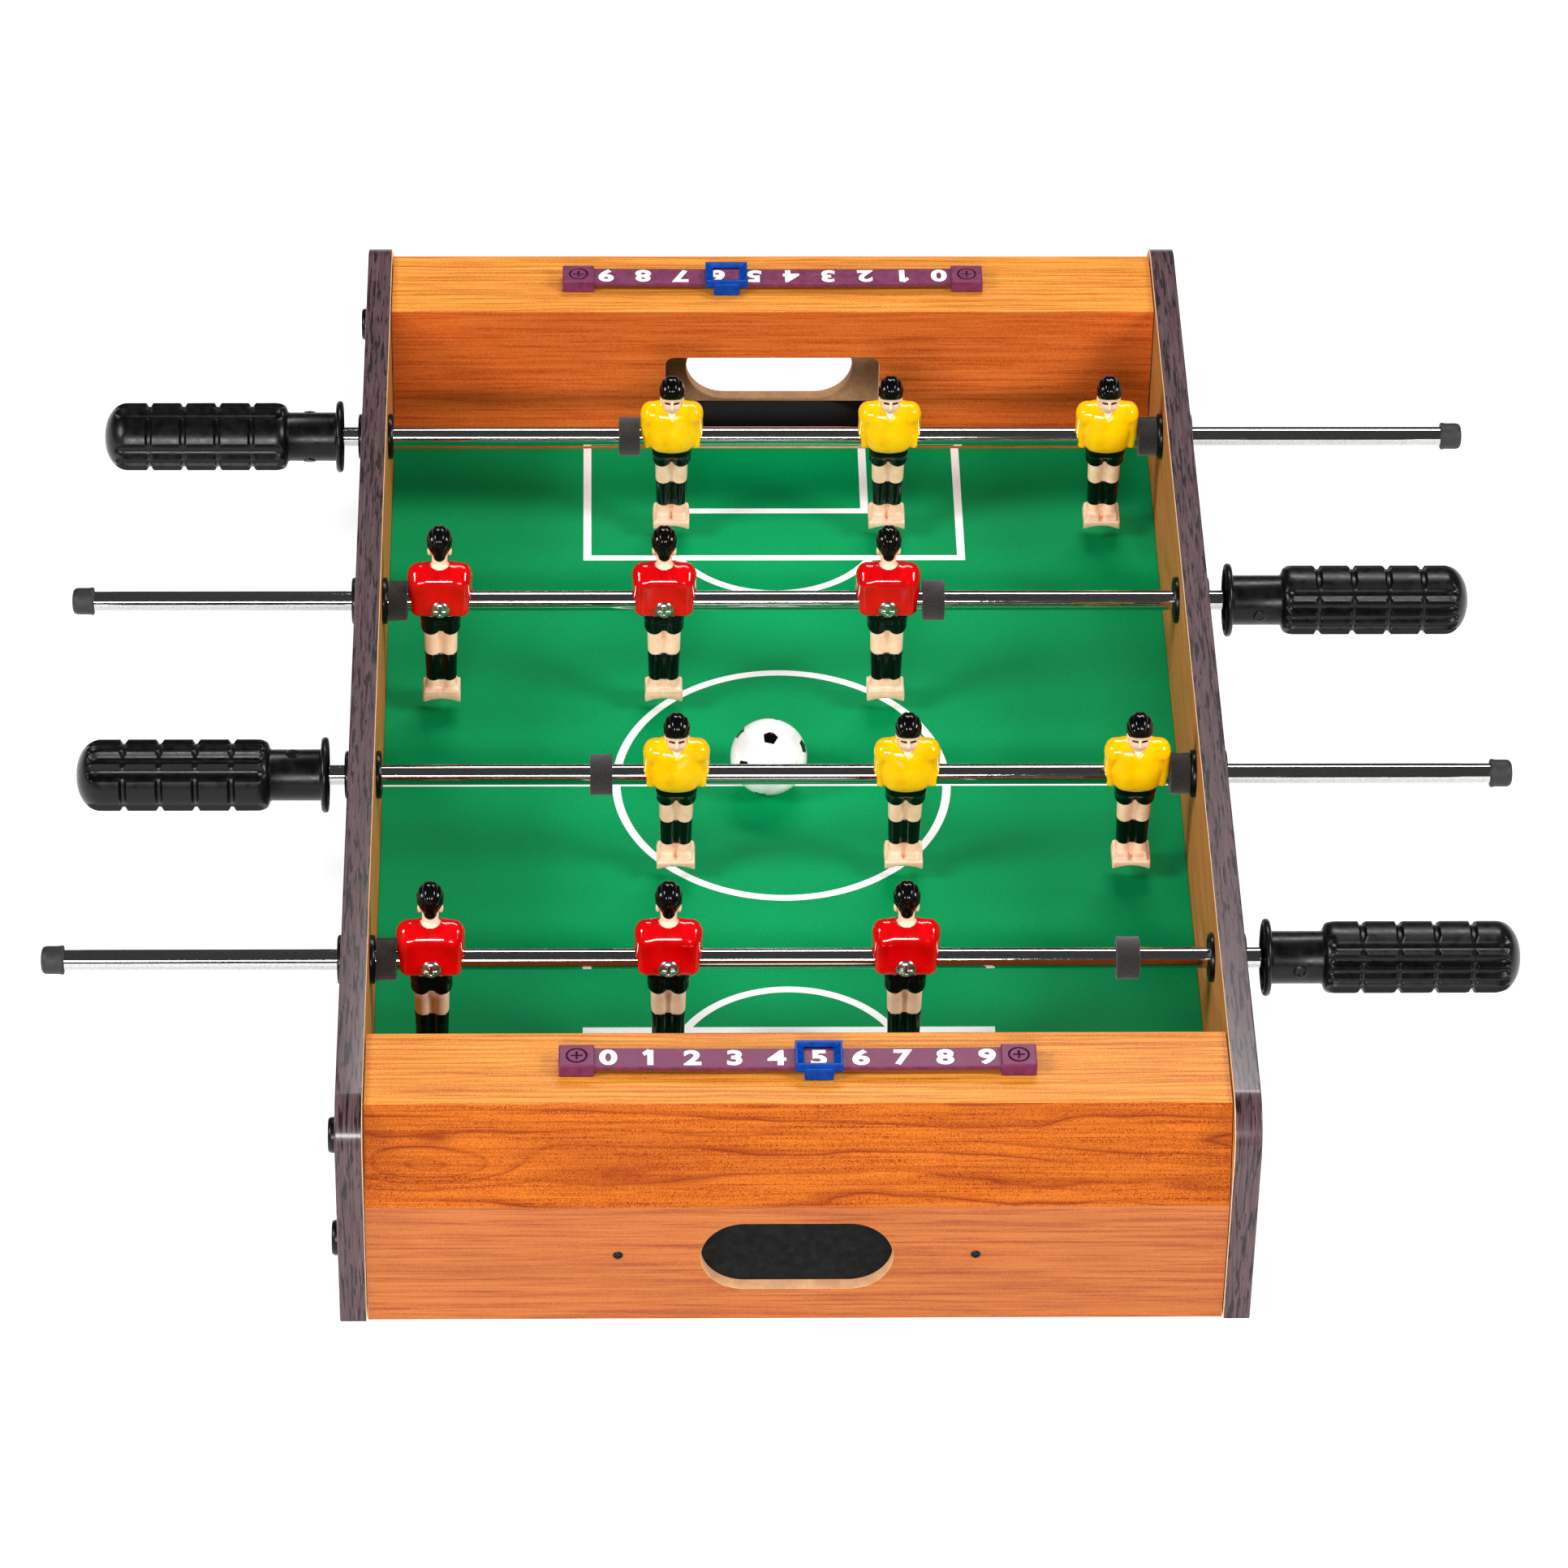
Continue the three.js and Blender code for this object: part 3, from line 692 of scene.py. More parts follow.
def foam():
    look = Finish("foam", specular_ior_level=0.15, sheen_weight=0.25, sheen_roughness=0.6)
    pores = look.cells(2.4)
    mottle = look.noise(1.1, detail=4)
    tint = look.ramp(pores, (0.05, tone("040303")), (0.35, tone("151312")), (0.7, tone("292522")))
    tint = look.mix(look.ramp(mottle, (0.4, 0.0), (0.7, 0.4)), tint, tone("181717"))
    look.colour(tint).gloss(mottle, 0.88, 1.0).bump(pores, 0.18, 0.7)
    return look.material


def paint(name, dark, base, light, coat=0.12, specular=0.45):
    """Glossy enamel on moulded plastic, with a faint orange peel and a few small scuffs."""
    look = Finish(name, coat_weight=coat, coat_roughness=0.05, specular_ior_level=specular)
    mottle = look.noise(0.12, detail=2)
    peel = look.noise(0.55, detail=1)
    scuffs = look.noise((0.7, 1.9, 0.45), detail=3, roughness=0.8, shift=(2, 9, 4))
    tint = look.ramp(mottle, (0.3, tone(dark)), (0.5, tone(base)), (0.75, tone(light)))
    worn = look.mix(0.7, tone(dark), tone("1c1208"))
    tint = look.mix(look.ramp(scuffs, (0.735, 0.0), (0.75, 0.8)), tint, worn)
    look.colour(tint).gloss(mottle, 0.09, 0.15).bump(peel, 0.05, 0.2)
    return look.material


def skin_plastic():
    look = Finish("skin_plastic", coat_weight=0.2, coat_roughness=0.2)
    mottle = look.noise(0.22, detail=4)
    grain = look.noise(2.2, detail=2)
    tint = look.ramp(mottle, (0.3, tone("f0c19e")), (0.5, tone("facfae")), (0.75, tone("ffdcbf")))
    look.colour(tint).gloss(mottle, 0.34, 0.46).bump(grain, 0.02, 0.25)
    return look.material


def ball_white():
    look = Finish("ball_white", coat_weight=0.3, coat_roughness=0.1)
    mottle = look.noise(0.14, detail=3)
    look.colour(look.ramp(mottle, (0.3, tone("e6e6e6")), (0.6, tone("fbfbfa"))))
    look.gloss(mottle, 0.18, 0.3).bump(look.noise(1.2, detail=2), 0.02, 0.2)
    return look.material


FLOOR_GLOW = 0.75


def floor_white():
    look = Finish("floor_white", specular_ior_level=0.1, emission_strength=FLOOR_GLOW)
    look.shader.inputs["Emission Color"].default_value = (1, 1, 1, 1)
    grain = look.noise(0.02, detail=2)
    look.colour(look.ramp(grain, (0.3, tone("c4c4c4")), (0.7, tone("c8c8c8"))))
    look.gloss(grain, 0.9, 1.0)
    return look.material


# Where each knot stands on the end boards' slopes, and how far it reaches on each axis.
KNOTS = (
    ((-124.0, -BOARD_OUTER_Y, 66.0), (26.0, 40.0, 6.5)),
    ((165.0, -BOARD_OUTER_Y, 73.0), (62.0, 40.0, 5.5)),
    ((60.0, BOARD_OUTER_Y, 68.0), (40.0, 40.0, 6.0)),
)
FOIL = {
    "top": wood_foil(
        "foil_top", tone("a64c0c"), tone("d88a30"), tone("e49e42"), 0, rings=(1, 2.4, 3.4),
        sand=0.3, specular=0.2, shift=2.0),
    "slope": wood_foil(
        "foil_slope", tone("782400"), tone("b85a10"), tone("c66e1e"), 0, rings=(2, 7.5, 3.6),
        knots=KNOTS, sand=0.5, specular=0.12, shift=11.0),
    "outer": wood_foil(
        "foil_outer", tone("8e4022"), tone("af6028"), tone("bc6f38"), 0, specular=0.2, shift=5.0),
    "goal": wood_foil(
        "foil_goal", tone("a43c0e"), tone("cc5c1e"), tone("d97030"), 0, sand=0.3, shift=8.0),
}
LINING = wood_foil(
    "inner_lining", tone("9a5c28"), tone("b9783c"), tone("c98c50"), 1,
    gloss=(0.5, 0.62), specular=0.12, shift=17.0)
WENGE = wenge("wenge_face", (1,))
WENGE_RIM = wenge("wenge_rim", (1, 2))
FIBREBOARD = fibreboard()
PAPER_EDGE = paper_edge()
CHROME = chrome("chrome", 0.02, 0.06)
STEEL = chrome("steel", 0.16, 0.26)
BLACK = dark_plastic("black_plastic", "030303", "080809", 0.24, 0.38, specular=0.26)
TRAY_BLACK = dark_plastic("tray_black", "060606", "0e0e0f", 0.5, 0.65, grain=0.06, specular=0.15)
RUBBER = dark_plastic("rubber", "131314", "222223", 0.5, 0.7, grain=0.05)
FOAM = foam()
SKIN = skin_plastic()
BLACK_PAINT = paint("black_paint", "010101", "030303", "060606", coat=0.0, specular=0.3)
SHIRTS = {
    "yellow": paint("yellow_paint", "f3b200", "ffc400", "ffcf0a"),
    "red": paint("red_paint", "b60003", "ca0005", "d60008"),
}
PURPLE = dark_plastic("purple_plastic", "602546", "763354", 0.34, 0.48, specular=0.22)
# A darker purple for the faces inside the screw mark's ring and cross: painted shade in the grooves.
PURPLE_GROOVE_SHADE = dark_plastic("purple_groove_shade", "2c1020", "3c182c", 0.5, 0.65, specular=0.2)
BLUE = dark_plastic("blue_plastic", "002f80", "00449e", 0.24, 0.36, specular=0.12)
WHITE_INK = line_white()


# ---------------------------------------------------------------- making pieces

def make(name, shape, materials, sharp=35.0, weighted=False):
    """A Blender object from a Shape, smooth apart from edges sharper than the angle."""
    mesh = bpy.data.meshes.new(name)
    mesh.from_pydata((shape.points * MM).tolist(), [], shape.faces)
    for material in materials:
        mesh.materials.append(material)
    mesh.polygons.foreach_set("material_index", shape.paint)
    mesh.shade_smooth()
    mesh.set_sharp_from_angle(angle=math.radians(sharp))
    mesh.update()
    return show(name, mesh, weighted)


def show(name, mesh, weighted=False):
    made = bpy.data.objects.new(name, mesh)
    bpy.context.scene.collection.objects.link(made)
    if weighted:
        flatten = made.modifiers.new("flat_faces_stay_flat", "WEIGHTED_NORMAL")
        flatten.keep_sharp = True
    return made


def copies(names, shape, materials, sharp):
    """One piece for each name, all sharing one mesh."""
    first = make(names[0], shape, materials, sharp)
    return [first] + [show(name, first.data) for name in names[1:]]


def body_of(node):
    return frame["nodes"][node]["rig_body"]


def stand_for(piece, slot, *nodes):
    """The piece takes the place of these CAD nodes and moves with their body."""
    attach(piece, body_of(nodes[0]))
    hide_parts(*nodes)
    return piece


def add_to(piece, body):
    """The piece is an extra one, which only the looks have."""
    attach(piece, body)
    return piece


def put(piece, x, y, z, turn=0.0, roll=0.0):
    """Places a piece, turned about Z and first rolled about its own X, in degrees."""
    place = Matrix.Translation(Vector((x, y, z)) * MM)
    place = place @ Matrix.Rotation(math.radians(turn), 4, "Z")
    piece.matrix_world = place @ Matrix.Rotation(math.radians(roll), 4, "X")
    return piece


# ---------------------------------------------------------------- cabinet

PANEL_CORNER_RADIUS = 16.8
BARREL_RADIUS = 5.5
BARREL_GAP = 0.15
PANEL_EDGE = 0.5
PANEL_FLUSH = 0.02
RIM_FACING = 0.7


def build_side_panels():
    half, top, radius = PANEL_HALF_LENGTH, PANEL_HEIGHT, PANEL_CORNER_RADIUS
    outline = [(-half, 0), (half, 0)]
    outline += arc((half - radius, top - radius), radius, 0, 90, 24)
    outline += arc((-half + radius, top - radius), radius, 90, 180, 24)
    places = [middle(f"rod_{number}")[1] for number in RODS]
    holes = [arc((y, ROD_Z), BARREL_RADIUS + BARREL_GAP, 360, 0, 40)[:-1] for y in places]
    sheet = plate(outline, PANEL_THICKNESS, PANEL_EDGE, holes)
    for name, side in SIDES:
        def upright(p):
            return np.stack([side * (PANEL_OUTER_X - p[:, 2]), p[:, 0], p[:, 1]], 1)

        def layer(centre, normal):
            lining = abs(centre[0]) < PANEL_INNER_X + PANEL_FLUSH
            bare = abs(centre[0]) < PANEL_INNER_X + PANEL_EDGE * 0.6 and centre[2] > 1
            rim = abs(normal[0]) < RIM_FACING
            return 1 if lining else 2 if bare else 3 if rim else 0

        shape = sheet.mapped(upright).painted(layer)
        panel = make(f"panel_{name}", shape, [WENGE, LINING, PAPER_EDGE, WENGE_RIM], weighted=True)
        stand_for(panel, "side_panel", f"side_panel_{name}")


BOARD_THICKNESS = 4.8
BOARD_EDGE = 0.3
BOARD_FLUSH = 0.06
BOARD_CUT_END = 0.2
BOARD_TOP_EDGE_Y = 242.1
SLOPE_FOOT_Z = 52.0
GOAL_LEG_LIFT = 4.0
GOAL_HALF_WIDTH = 41.0
GOAL_TOP_Z = 65.5
GOAL_CORNER_RADIUS = 3.5
RETURN_HALF_WIDTH = 32.5
RETURN_RADIUS = 15.0
RETURN_CENTRE_Z = 29.0
FOLD_RADIUS = 0.9
FOLD_STEPS = 4
FOLD_CLEARANCE = 1.5


def fold_path():
    """Knots along the folded sheet, each with its outer and its inner point in (y, z)."""
    foot_z = low("end_board_far")[2] + GOAL_LEG_LIFT
    outer = np.array([
        (GOAL_FACE_Y, foot_z),
        (GOAL_FACE_Y, BOARD_TOP_Z),
        (BOARD_TOP_EDGE_Y, BOARD_TOP_Z),
        (BOARD_OUTER_Y, SLOPE_FOOT_Z),
        (BOARD_OUTER_Y, 0.0),
    ])
    runs = np.diff(outer, axis=0)
    runs /= np.linalg.norm(runs, axis=1, keepdims=True)
    inward = np.stack([runs[:, 1], -runs[:, 0]], 1)
    clear = BOARD_THICKNESS + FOLD_CLEARANCE
    knots = []
    for i, (direction, normal) in enumerate(zip(runs, inward)):
        start = outer[i] + direction * (clear if i else 0)
        end = outer[i + 1] - direction * (clear if i < len(runs) - 1 else 0)
        knots += [(p, p + normal * BOARD_THICKNESS) for p in (start, end)]
        if i < len(runs) - 1:
            mitre = (normal + inward[i + 1]) / (1 + normal @ inward[i + 1])
            corner = outer[i + 1] + mitre * BOARD_THICKNESS
            around = (corner - direction, corner, corner + runs[i + 1])
            bend = rounded_corner(outer[i], outer[i + 1], outer[i + 2], FOLD_RADIUS, FOLD_STEPS)
            hollow = rounded_corner(*around, FOLD_RADIUS / 3, FOLD_STEPS)
            knots += list(zip(bend, hollow))
    return knots


def build_end_boards():
    knots = fold_path()
    outer = np.array([k[0] for k in knots])
    inner = np.array([k[1] for k in knots])
    run = np.concatenate([[0], np.cumsum(np.linalg.norm(np.diff(outer, axis=0), axis=1))])
    half = BOARD_HALF_WIDTH
    outline = [(half, s) for s in run] + [(-half, s) for s in run[::-1]]
    creases = [(i, 2 * len(run) - 1 - i) for i in range(1, len(run) - 1)]
    foot = outer[0][1]
    holes = [goal_loop(-foot), return_loop(run[-1])]
    sheet = plate(outline, BOARD_THICKNESS, BOARD_EDGE, holes, creases)

    def folded(p):
        share = p[:, 2:] / BOARD_THICKNESS
        skin = np.stack([np.interp(p[:, 1], run, outer[:, k]) for k in (0, 1)], 1)
        back = np.stack([np.interp(p[:, 1], run, inner[:, k]) for k in (0, 1)], 1)
        return np.column_stack([p[:, 0], skin * (1 - share) + back * share])

    for name, side in ENDS:
        shape = sheet.mapped(folded).painted(board_layer)
        shape = shape.mapped(lambda p: p * np.array([1, side, 1]))
        looks = [FOIL["top"], FOIL["slope"], FOIL["outer"], FOIL["goal"], FIBREBOARD, PAPER_EDGE]
        board = make(f"board_{name}", shape, looks, weighted=True)
        stand_for(board, "end_board", f"end_board_{name}")


def board_layer(centre, normal):
    """The foil's own print on each face of the fold, and bare fibreboard inside."""
    x, y, z = centre
    printed = abs(x) < BOARD_HALF_WIDTH - BOARD_CUT_END
    if z > BOARD_TOP_Z - BOARD_FLUSH and GOAL_FACE_Y < y < BOARD_TOP_EDGE_Y:
        return 0
    if y < GOAL_FACE_Y + BOARD_FLUSH:
        return 3
    if y > BOARD_OUTER_Y - BOARD_FLUSH and z < SLOPE_FOOT_Z:
        return 2
    if printed and normal[1] > 0.5 and normal[2] > 0.1 and z > SLOPE_FOOT_Z:
        return 1
    if printed and normal[2] > 0.3 and z > BOARD_TOP_Z - 2 * FOLD_RADIUS:
        return 0
    return 4


def goal_loop(shift):
    """The goal's opening, clockwise, in (x, distance along the sheet)."""
    radius = GOAL_CORNER_RADIUS
    top, half = GOAL_TOP_Z, GOAL_HALF_WIDTH
    loop = [(half, FIELD_TOP_Z), (-half, FIELD_TOP_Z)]
    loop += arc((-half + radius, top - radius), radius, 180, 90, 6)
    loop += arc((half - radius, top - radius), radius, 90, 0, 6)
    return [(x, z + shift) for x, z in loop]


def return_loop(sheet_end):
    """The round-ended hole that hands the ball back, clockwise on the sheet."""
    straight = RETURN_HALF_WIDTH - RETURN_RADIUS
    centre = sheet_end - RETURN_CENTRE_Z
    loop = arc((straight, centre), RETURN_RADIUS, 90, -90, 28)
    return loop + arc((-straight, centre), RETURN_RADIUS, 270, 90, 28)


FIELD_SIDE_GAP = 0.03
FIELD_CORNER = 0.3
FIELD_EDGE = 0.25


def build_playfield():
    half_x = PANEL_INNER_X - FIELD_SIDE_GAP
    half_y = high("playfield")[1]
    outline = rounded_box(half_x, half_y, FIELD_CORNER, 2)
    shape = plate(outline, FIELD_TOP_Z - FIELD_BOTTOM_Z, FIELD_EDGE).moved(z=FIELD_BOTTOM_Z)
    shape.painted(lambda centre, normal: 0 if centre[2] > FIELD_BOTTOM_Z + 1 else 1)
    stand_for(make("field", shape, [field_green(), FIBREBOARD], weighted=True), "playfield", "playfield")
    add_to(make("field_lines", field_lines(), [WHITE_INK]), body_of("playfield"))


LINE_WIDTH = 3.0
LINE_HEIGHT = 0.05
LINE_SIDE_GAP = 0.2
LINE_WALL_GAP = 0.5
INK_GAP = 0.01
MIDDLE_LINE_Y = 3.3
CIRCLE_RADII = (60.4, 64.2)
PENALTY_HALF_WIDTH = 71.0
PENALTY_LINE_Y = {"near": 132.0, "far": 137.0}
GOAL_AREA_HALF_WIDTH = 35.0
GOAL_AREA_DEPTH = 40.0
PENALTY_ARC_HALF_WIDTH = 36.5
PENALTY_ARC_DEPTH = 21.5


def field_lines():
    """The printed markings, as strips of ink a fraction of a millimetre thick."""
    bottom = FIELD_TOP_Z + INK_GAP
    top = bottom + LINE_HEIGHT
    edge_x = PANEL_INNER_X - LINE_SIDE_GAP
    ring = CIRCLE_RADII[0]

    def strip(path, closed=False, sunk=0.0):
        return band(path, LINE_WIDTH, bottom, top - sunk, closed)

    circle = [(ring * math.cos(a), MIDDLE_LINE_Y + CIRCLE_RADII[1] * math.sin(a))
              for a in np.linspace(0, 2 * math.pi, 128, endpoint=False)]
    lines = strip(circle, closed=True)
    gap = ring - LINE_WIDTH / 2
    lines += strip([(-gap, MIDDLE_LINE_Y), (gap, MIDDLE_LINE_Y)])
    for side in (-1, 1):
        lines += strip([(side * edge_x, MIDDLE_LINE_Y), (side * (gap + LINE_WIDTH), MIDDLE_LINE_Y)])
    for name, side in ENDS:
        wall = side * (GOAL_FACE_Y - LINE_WALL_GAP)
        line_y = side * PENALTY_LINE_Y[name]
        area_y = line_y + side * (GOAL_FACE_Y - PENALTY_LINE_Y[name] - GOAL_AREA_DEPTH)
        for half_width, y in ((PENALTY_HALF_WIDTH, line_y), (GOAL_AREA_HALF_WIDTH, area_y)):
            lines += strip([(-half_width, wall), (-half_width, y), (half_width, y), (half_width, wall)])
        chord, depth = PENALTY_ARC_HALF_WIDTH, PENALTY_ARC_DEPTH
        radius = (chord ** 2 + depth ** 2) / (2 * depth)
        centre_y = line_y + side * (radius - depth)
        swing = math.degrees(math.asin(chord / radius))
        sweep = arc((0, centre_y), radius, -90 * side - swing, -90 * side + swing, 36)
        lines += strip(sweep, sunk=LINE_HEIGHT / 3)
    return lines


TRAY_WALL = 2.0
TRAY_EDGE = 0.4
TRAY_INNER_HALF = 50.0
TRAY_OUTER_HALF = TRAY_INNER_HALF + TRAY_WALL
TRAY_FILLET = 5.0
TRAY_CORNER = 6.0
WING_BOTTOM_Z = 14.0
WING_TOP_Z = 44.0
WING_CORNER = 2.5


def build_ball_trays():
    """Troughs that catch the ball behind each goal, with a wing on each side."""
    for name, side in ENDS:
        node = f"ball_tray_{name}"
        lo, hi = low(node), high(node)
        near_y, far_y = lo[1], hi[1]
        shape = plate(tray_section(lo[2], hi[2]), far_y - near_y, TRAY_EDGE).mapped(
            lambda p: np.stack([p[:, 0], near_y + p[:, 2], p[:, 1]], 1))
        wall_y = far_y - TRAY_WALL if side > 0 else near_y
        for hand in (-1, 1):
            width = hi[0] - TRAY_OUTER_HALF
            wing = rounded_box(width / 2, (WING_TOP_Z - WING_BOTTOM_Z) / 2, WING_CORNER)
            centre_x = hand * (TRAY_OUTER_HALF + width / 2)
            centre_z = (WING_TOP_Z + WING_BOTTOM_Z) / 2
            shape += plate(wing, TRAY_WALL, TRAY_EDGE).mapped(
                lambda p: np.stack([p[:, 0] + centre_x, wall_y + p[:, 2], p[:, 1] + centre_z], 1))
        stand_for(make(f"tray_{name}", shape, [TRAY_BLACK], weighted=True), "ball_tray", node)


def tray_section(bottom, top):
    """The trough's section in (x, z), anticlockwise, with rounded corners in and out."""
    inner, outer, corner = TRAY_INNER_HALF, TRAY_OUTER_HALF, TRAY_CORNER
    floor, fillet = bottom + TRAY_WALL, TRAY_FILLET
    outline = [(outer, top), (inner, top)]
    outline += arc((inner - fillet, floor + fillet), fillet, 0, -90, 8)
    outline += arc((-inner + fillet, floor + fillet), fillet, -90, -180, 8)
    outline += [(-inner, top), (-outer, top)]
    outline += arc((-outer + corner, bottom + corner), corner, 180, 270, 8)
    outline += arc((outer - corner, bottom + corner), corner, 270, 360, 8)
    return outline


def build_screw_caps():
    """Domed black covers, pressed over the cabinet screws on the left outer face."""
    for end, _ in ENDS:
        for level in ("upper", "lower"):
            node = f"screw_cap_{end}_{level}"
            lo, hi = low(node), high(node)
            radius = (hi[2] - lo[2]) / 2
            rise = hi[0] - lo[0]
            dome = [(0, 0), (0, radius), (rise * 0.35, radius)]
            dome += [(rise * (0.35 + 0.65 * math.sin(a)), radius * (0.86 + 0.14 * math.cos(a)))
                     for a in np.linspace(0.2, math.pi / 2, 6)]
            dome += [(rise * 0.97, radius * 0.78), (rise * 0.86, radius * 0.7), (rise * 0.8, 0)]
            cap = make(f"cover_{end}_{level}", turned(dome, 40), [BLACK])
            put(cap, hi[0], middle(node)[1], middle(node)[2], turn=180)
            stand_for(cap, "black_plastic", node)


TRAY_SCREW_X = 60.5
TRAY_SCREW_Z = 29.8
TRAY_SCREW_RADIUS = 1.8
TRAY_SCREW_HEIGHT = 0.9
TRAY_SCREW_SINK = 0.2
TRAY_SCREW_GRID = 0.16


def build_tray_screws():
    shape = screw_shape(TRAY_SCREW_RADIUS, TRAY_SCREW_HEIGHT, TRAY_SCREW_GRID)
    places = {
        f"tray_screw_{end}_{hand}": (x_side * TRAY_SCREW_X, side)
        for end, side in ENDS for hand, x_side in SIDES
    }
    screws = copies(list(places), shape, [BLACK], sharp=60)
    for screw, (x, side) in zip(screws, places.values()):
        turn = 0 if side > 0 else 180
        put(screw, x, side * (BOARD_OUTER_Y - TRAY_SCREW_SINK), TRAY_SCREW_Z, turn=turn)
        add_to(screw, "cabinet")


def screw_shape(radius, height, step):
    """A round-headed cross-slot screw whose head points along +Y, from y = 0."""
    def distance(p):
        dome = egg(p, (0, 0, 0), (radius, height, radius))
        head = both(dome, -p[..., 1], 0.1)
        slot_width, slot_reach = radius * 0.16, radius * 0.62
        depth = height * 0.45
        slot = np.minimum(
            slab(p, (0, height, 0), (slot_reach, height - depth, slot_width), 0.05),
            slab(p, (0, height, 0), (slot_width, height - depth, slot_reach), 0.05))
        return carve(head, slot, 0.08)

    margin = 3 * step
    return cast(distance, (-radius - margin, -margin, -radius - margin),
                (radius + margin, height + margin, radius + margin), step)


# ---------------------------------------------------------------- score counters

BAR_SAG = 0.2
STRIP_HALF_WIDTH = 4.8
STRIP_BOTTOM = 2.4
STRIP_TOP = 4.2
STRIP_EDGE = 0.3
BLOCK_LENGTH = 12.0
BLOCK_HALF_WIDTH = 5.35
BLOCK_HEIGHT = 5.2
RING_RADIUS = 3.35
CUT_HALF_WIDTH = 0.3
CUT_DEPTH = 0.8
CROSS_REACH = 2.0
# How far from the block's middle the groove faces get the painted shade.
GROOVE_SHADE_REACH = 4.2
DIGIT_PITCH = 14.15
DIGIT_SIZE = 9.8
DIGIT_BOLDNESS = 0.36
DIGIT_STRETCH = 1.2
DIGIT_FLAG = ((-2.7, 2.3), (-0.9, 4.15), (0.3, 3.4), (-1.9, 0.9))
INK_HEIGHT = 0.05


def sagged(p, half_length, forward):
    """The strip hangs a little between its end blocks, down and towards the front."""
    drop = BAR_SAG * (1 - np.clip(np.abs(p[:, 0]) / half_length, 0, 1) ** 2)
    return p + np.column_stack([np.zeros(len(p)), forward * drop, -drop])


def end_block(p):
    """One moulded block with the mark of a cross-slot screw in its top."""
    body = slab(p, (0, 0, BLOCK_HEIGHT / 2), (BLOCK_LENGTH / 2, BLOCK_HALF_WIDTH, BLOCK_HEIGHT / 2), 0.5)
    flat = p[..., :2]
    ring = np.abs(length_of(flat) - RING_RADIUS) - CUT_HALF_WIDTH
    across = np.abs(flat)
    arms = np.minimum(
        np.maximum(across[..., 0] - CUT_HALF_WIDTH, across[..., 1] - CROSS_REACH),
        np.maximum(across[..., 1] - CUT_HALF_WIDTH, across[..., 0] - CROSS_REACH))
    groove = np.maximum(np.minimum(ring, arms), (BLOCK_HEIGHT - CUT_DEPTH) - p[..., 2])
    return carve(body, groove, 0.06)


def build_score_bars():
    block = cast(end_block, (-6.6, -6, -0.6), (6.6, 6, 5.8), 0.2)
    # Faces inside the ring and the cross take the darker purple, as painted shade in the grooves.
    rim = BLOCK_HEIGHT - CUT_DEPTH / 4
    block.painted(
        lambda p, _: int(rim - CUT_DEPTH < p[2] < rim and math.hypot(p[0], p[1]) < GROOVE_SHADE_REACH))
    for name, side in ENDS:
        node = f"score_bar_{name}"
        half = high(node)[0]
        inner = half - BLOCK_LENGTH
        turn = 0 if side < 0 else 180
        forward = -1 if side < 0 else 1
        places = np.linspace(-inner - 1, inner + 1, 33)
        outline = [(x, -STRIP_HALF_WIDTH) for x in places]
        outline += [(x, STRIP_HALF_WIDTH) for x in places[::-1]]
        creases = [(i, 2 * len(places) - 1 - i) for i in range(1, len(places) - 1)]
        strip = plate(outline, STRIP_TOP - STRIP_BOTTOM, STRIP_EDGE, creases=creases)
        strip = strip.moved(z=STRIP_BOTTOM)
        strip = strip.mapped(lambda p: sagged(p, inner, forward))
        ends = [block.moved(x=hand * (half - BLOCK_LENGTH / 2)) for hand in (-1, 1)]
        bar = make(f"score_rail_{name}", strip + ends[0] + ends[1], [PURPLE, PURPLE_GROOVE_SHADE], weighted=True)
        put(bar, 0, middle(node)[1], BOARD_TOP_Z, turn=turn)
        stand_for(bar, "score_bar", node)
        digits = make_digits(f"score_digits_{name}", inner, forward)
        put(digits, 0, middle(node)[1], BOARD_TOP_Z, turn=turn)
        add_to(digits, body_of(node))


def make_digits(name, inner, forward):
    """The printed digits 0 to 9, as thin ink on the strip."""
    shape = Shape()
    for digit in range(10):
        x = (digit - 4.5) * DIGIT_PITCH
        shape += digit_shape(str(digit)).moved(x=x, z=STRIP_TOP + INK_GAP)
    shape.points = sagged(shape.points, inner, forward)
    return make(name, shape, [WHITE_INK], sharp=30)


def digit_shape(character):
    """One digit as thin ink, centred on its own middle and stretched a little."""
    curve = bpy.data.curves.new("digit", "FONT")
    curve.body = character
    curve.size = DIGIT_SIZE
    curve.align_x = "CENTER"
    curve.offset = DIGIT_BOLDNESS
    curve.extrude = INK_HEIGHT / 2
    curve.resolution_u = 6
    letter = bpy.data.objects.new("digit", curve)
    bpy.context.scene.collection.objects.link(letter)
    bpy.context.view_layer.update()
    mesh = letter.to_mesh()
    points = np.array([v.co for v in mesh.vertices])
    faces = [tuple(p.vertices) for p in mesh.polygons]
    letter.to_mesh_clear()
    bpy.data.objects.remove(letter)
    bpy.data.curves.remove(curve)
    centre = (points.max(0) + points.min(0)) / 2
    shape = Shape(points - np.array([centre[0], centre[1], points[:, 2].min()]), faces)
    shape = shape.mapped(lambda p: p * np.array([DIGIT_STRETCH, 1, 1]))
    if character == "1":
        shape += digit_flag()
    return shape


def digit_flag():
    """The slanting flag at the top left of the digit one."""
    corners = [(x, y, z) for z in (0, INK_HEIGHT + INK_GAP) for x, y in DIGIT_FLAG]
    sides = [(i, (i + 1) % 4, 4 + (i + 1) % 4, 4 + i) for i in range(4)]
    return Shape(corners, [(3, 2, 1, 0), (4, 5, 6, 7), *sides]).outward()


SLEEVE_CLEARANCE = 0.75
WINDOW_HALF_SIZE = (4.9, 4.5)
WINDOW_FLOOR_Z = 3.4
WINDOW_FLARE_Z = 4.6


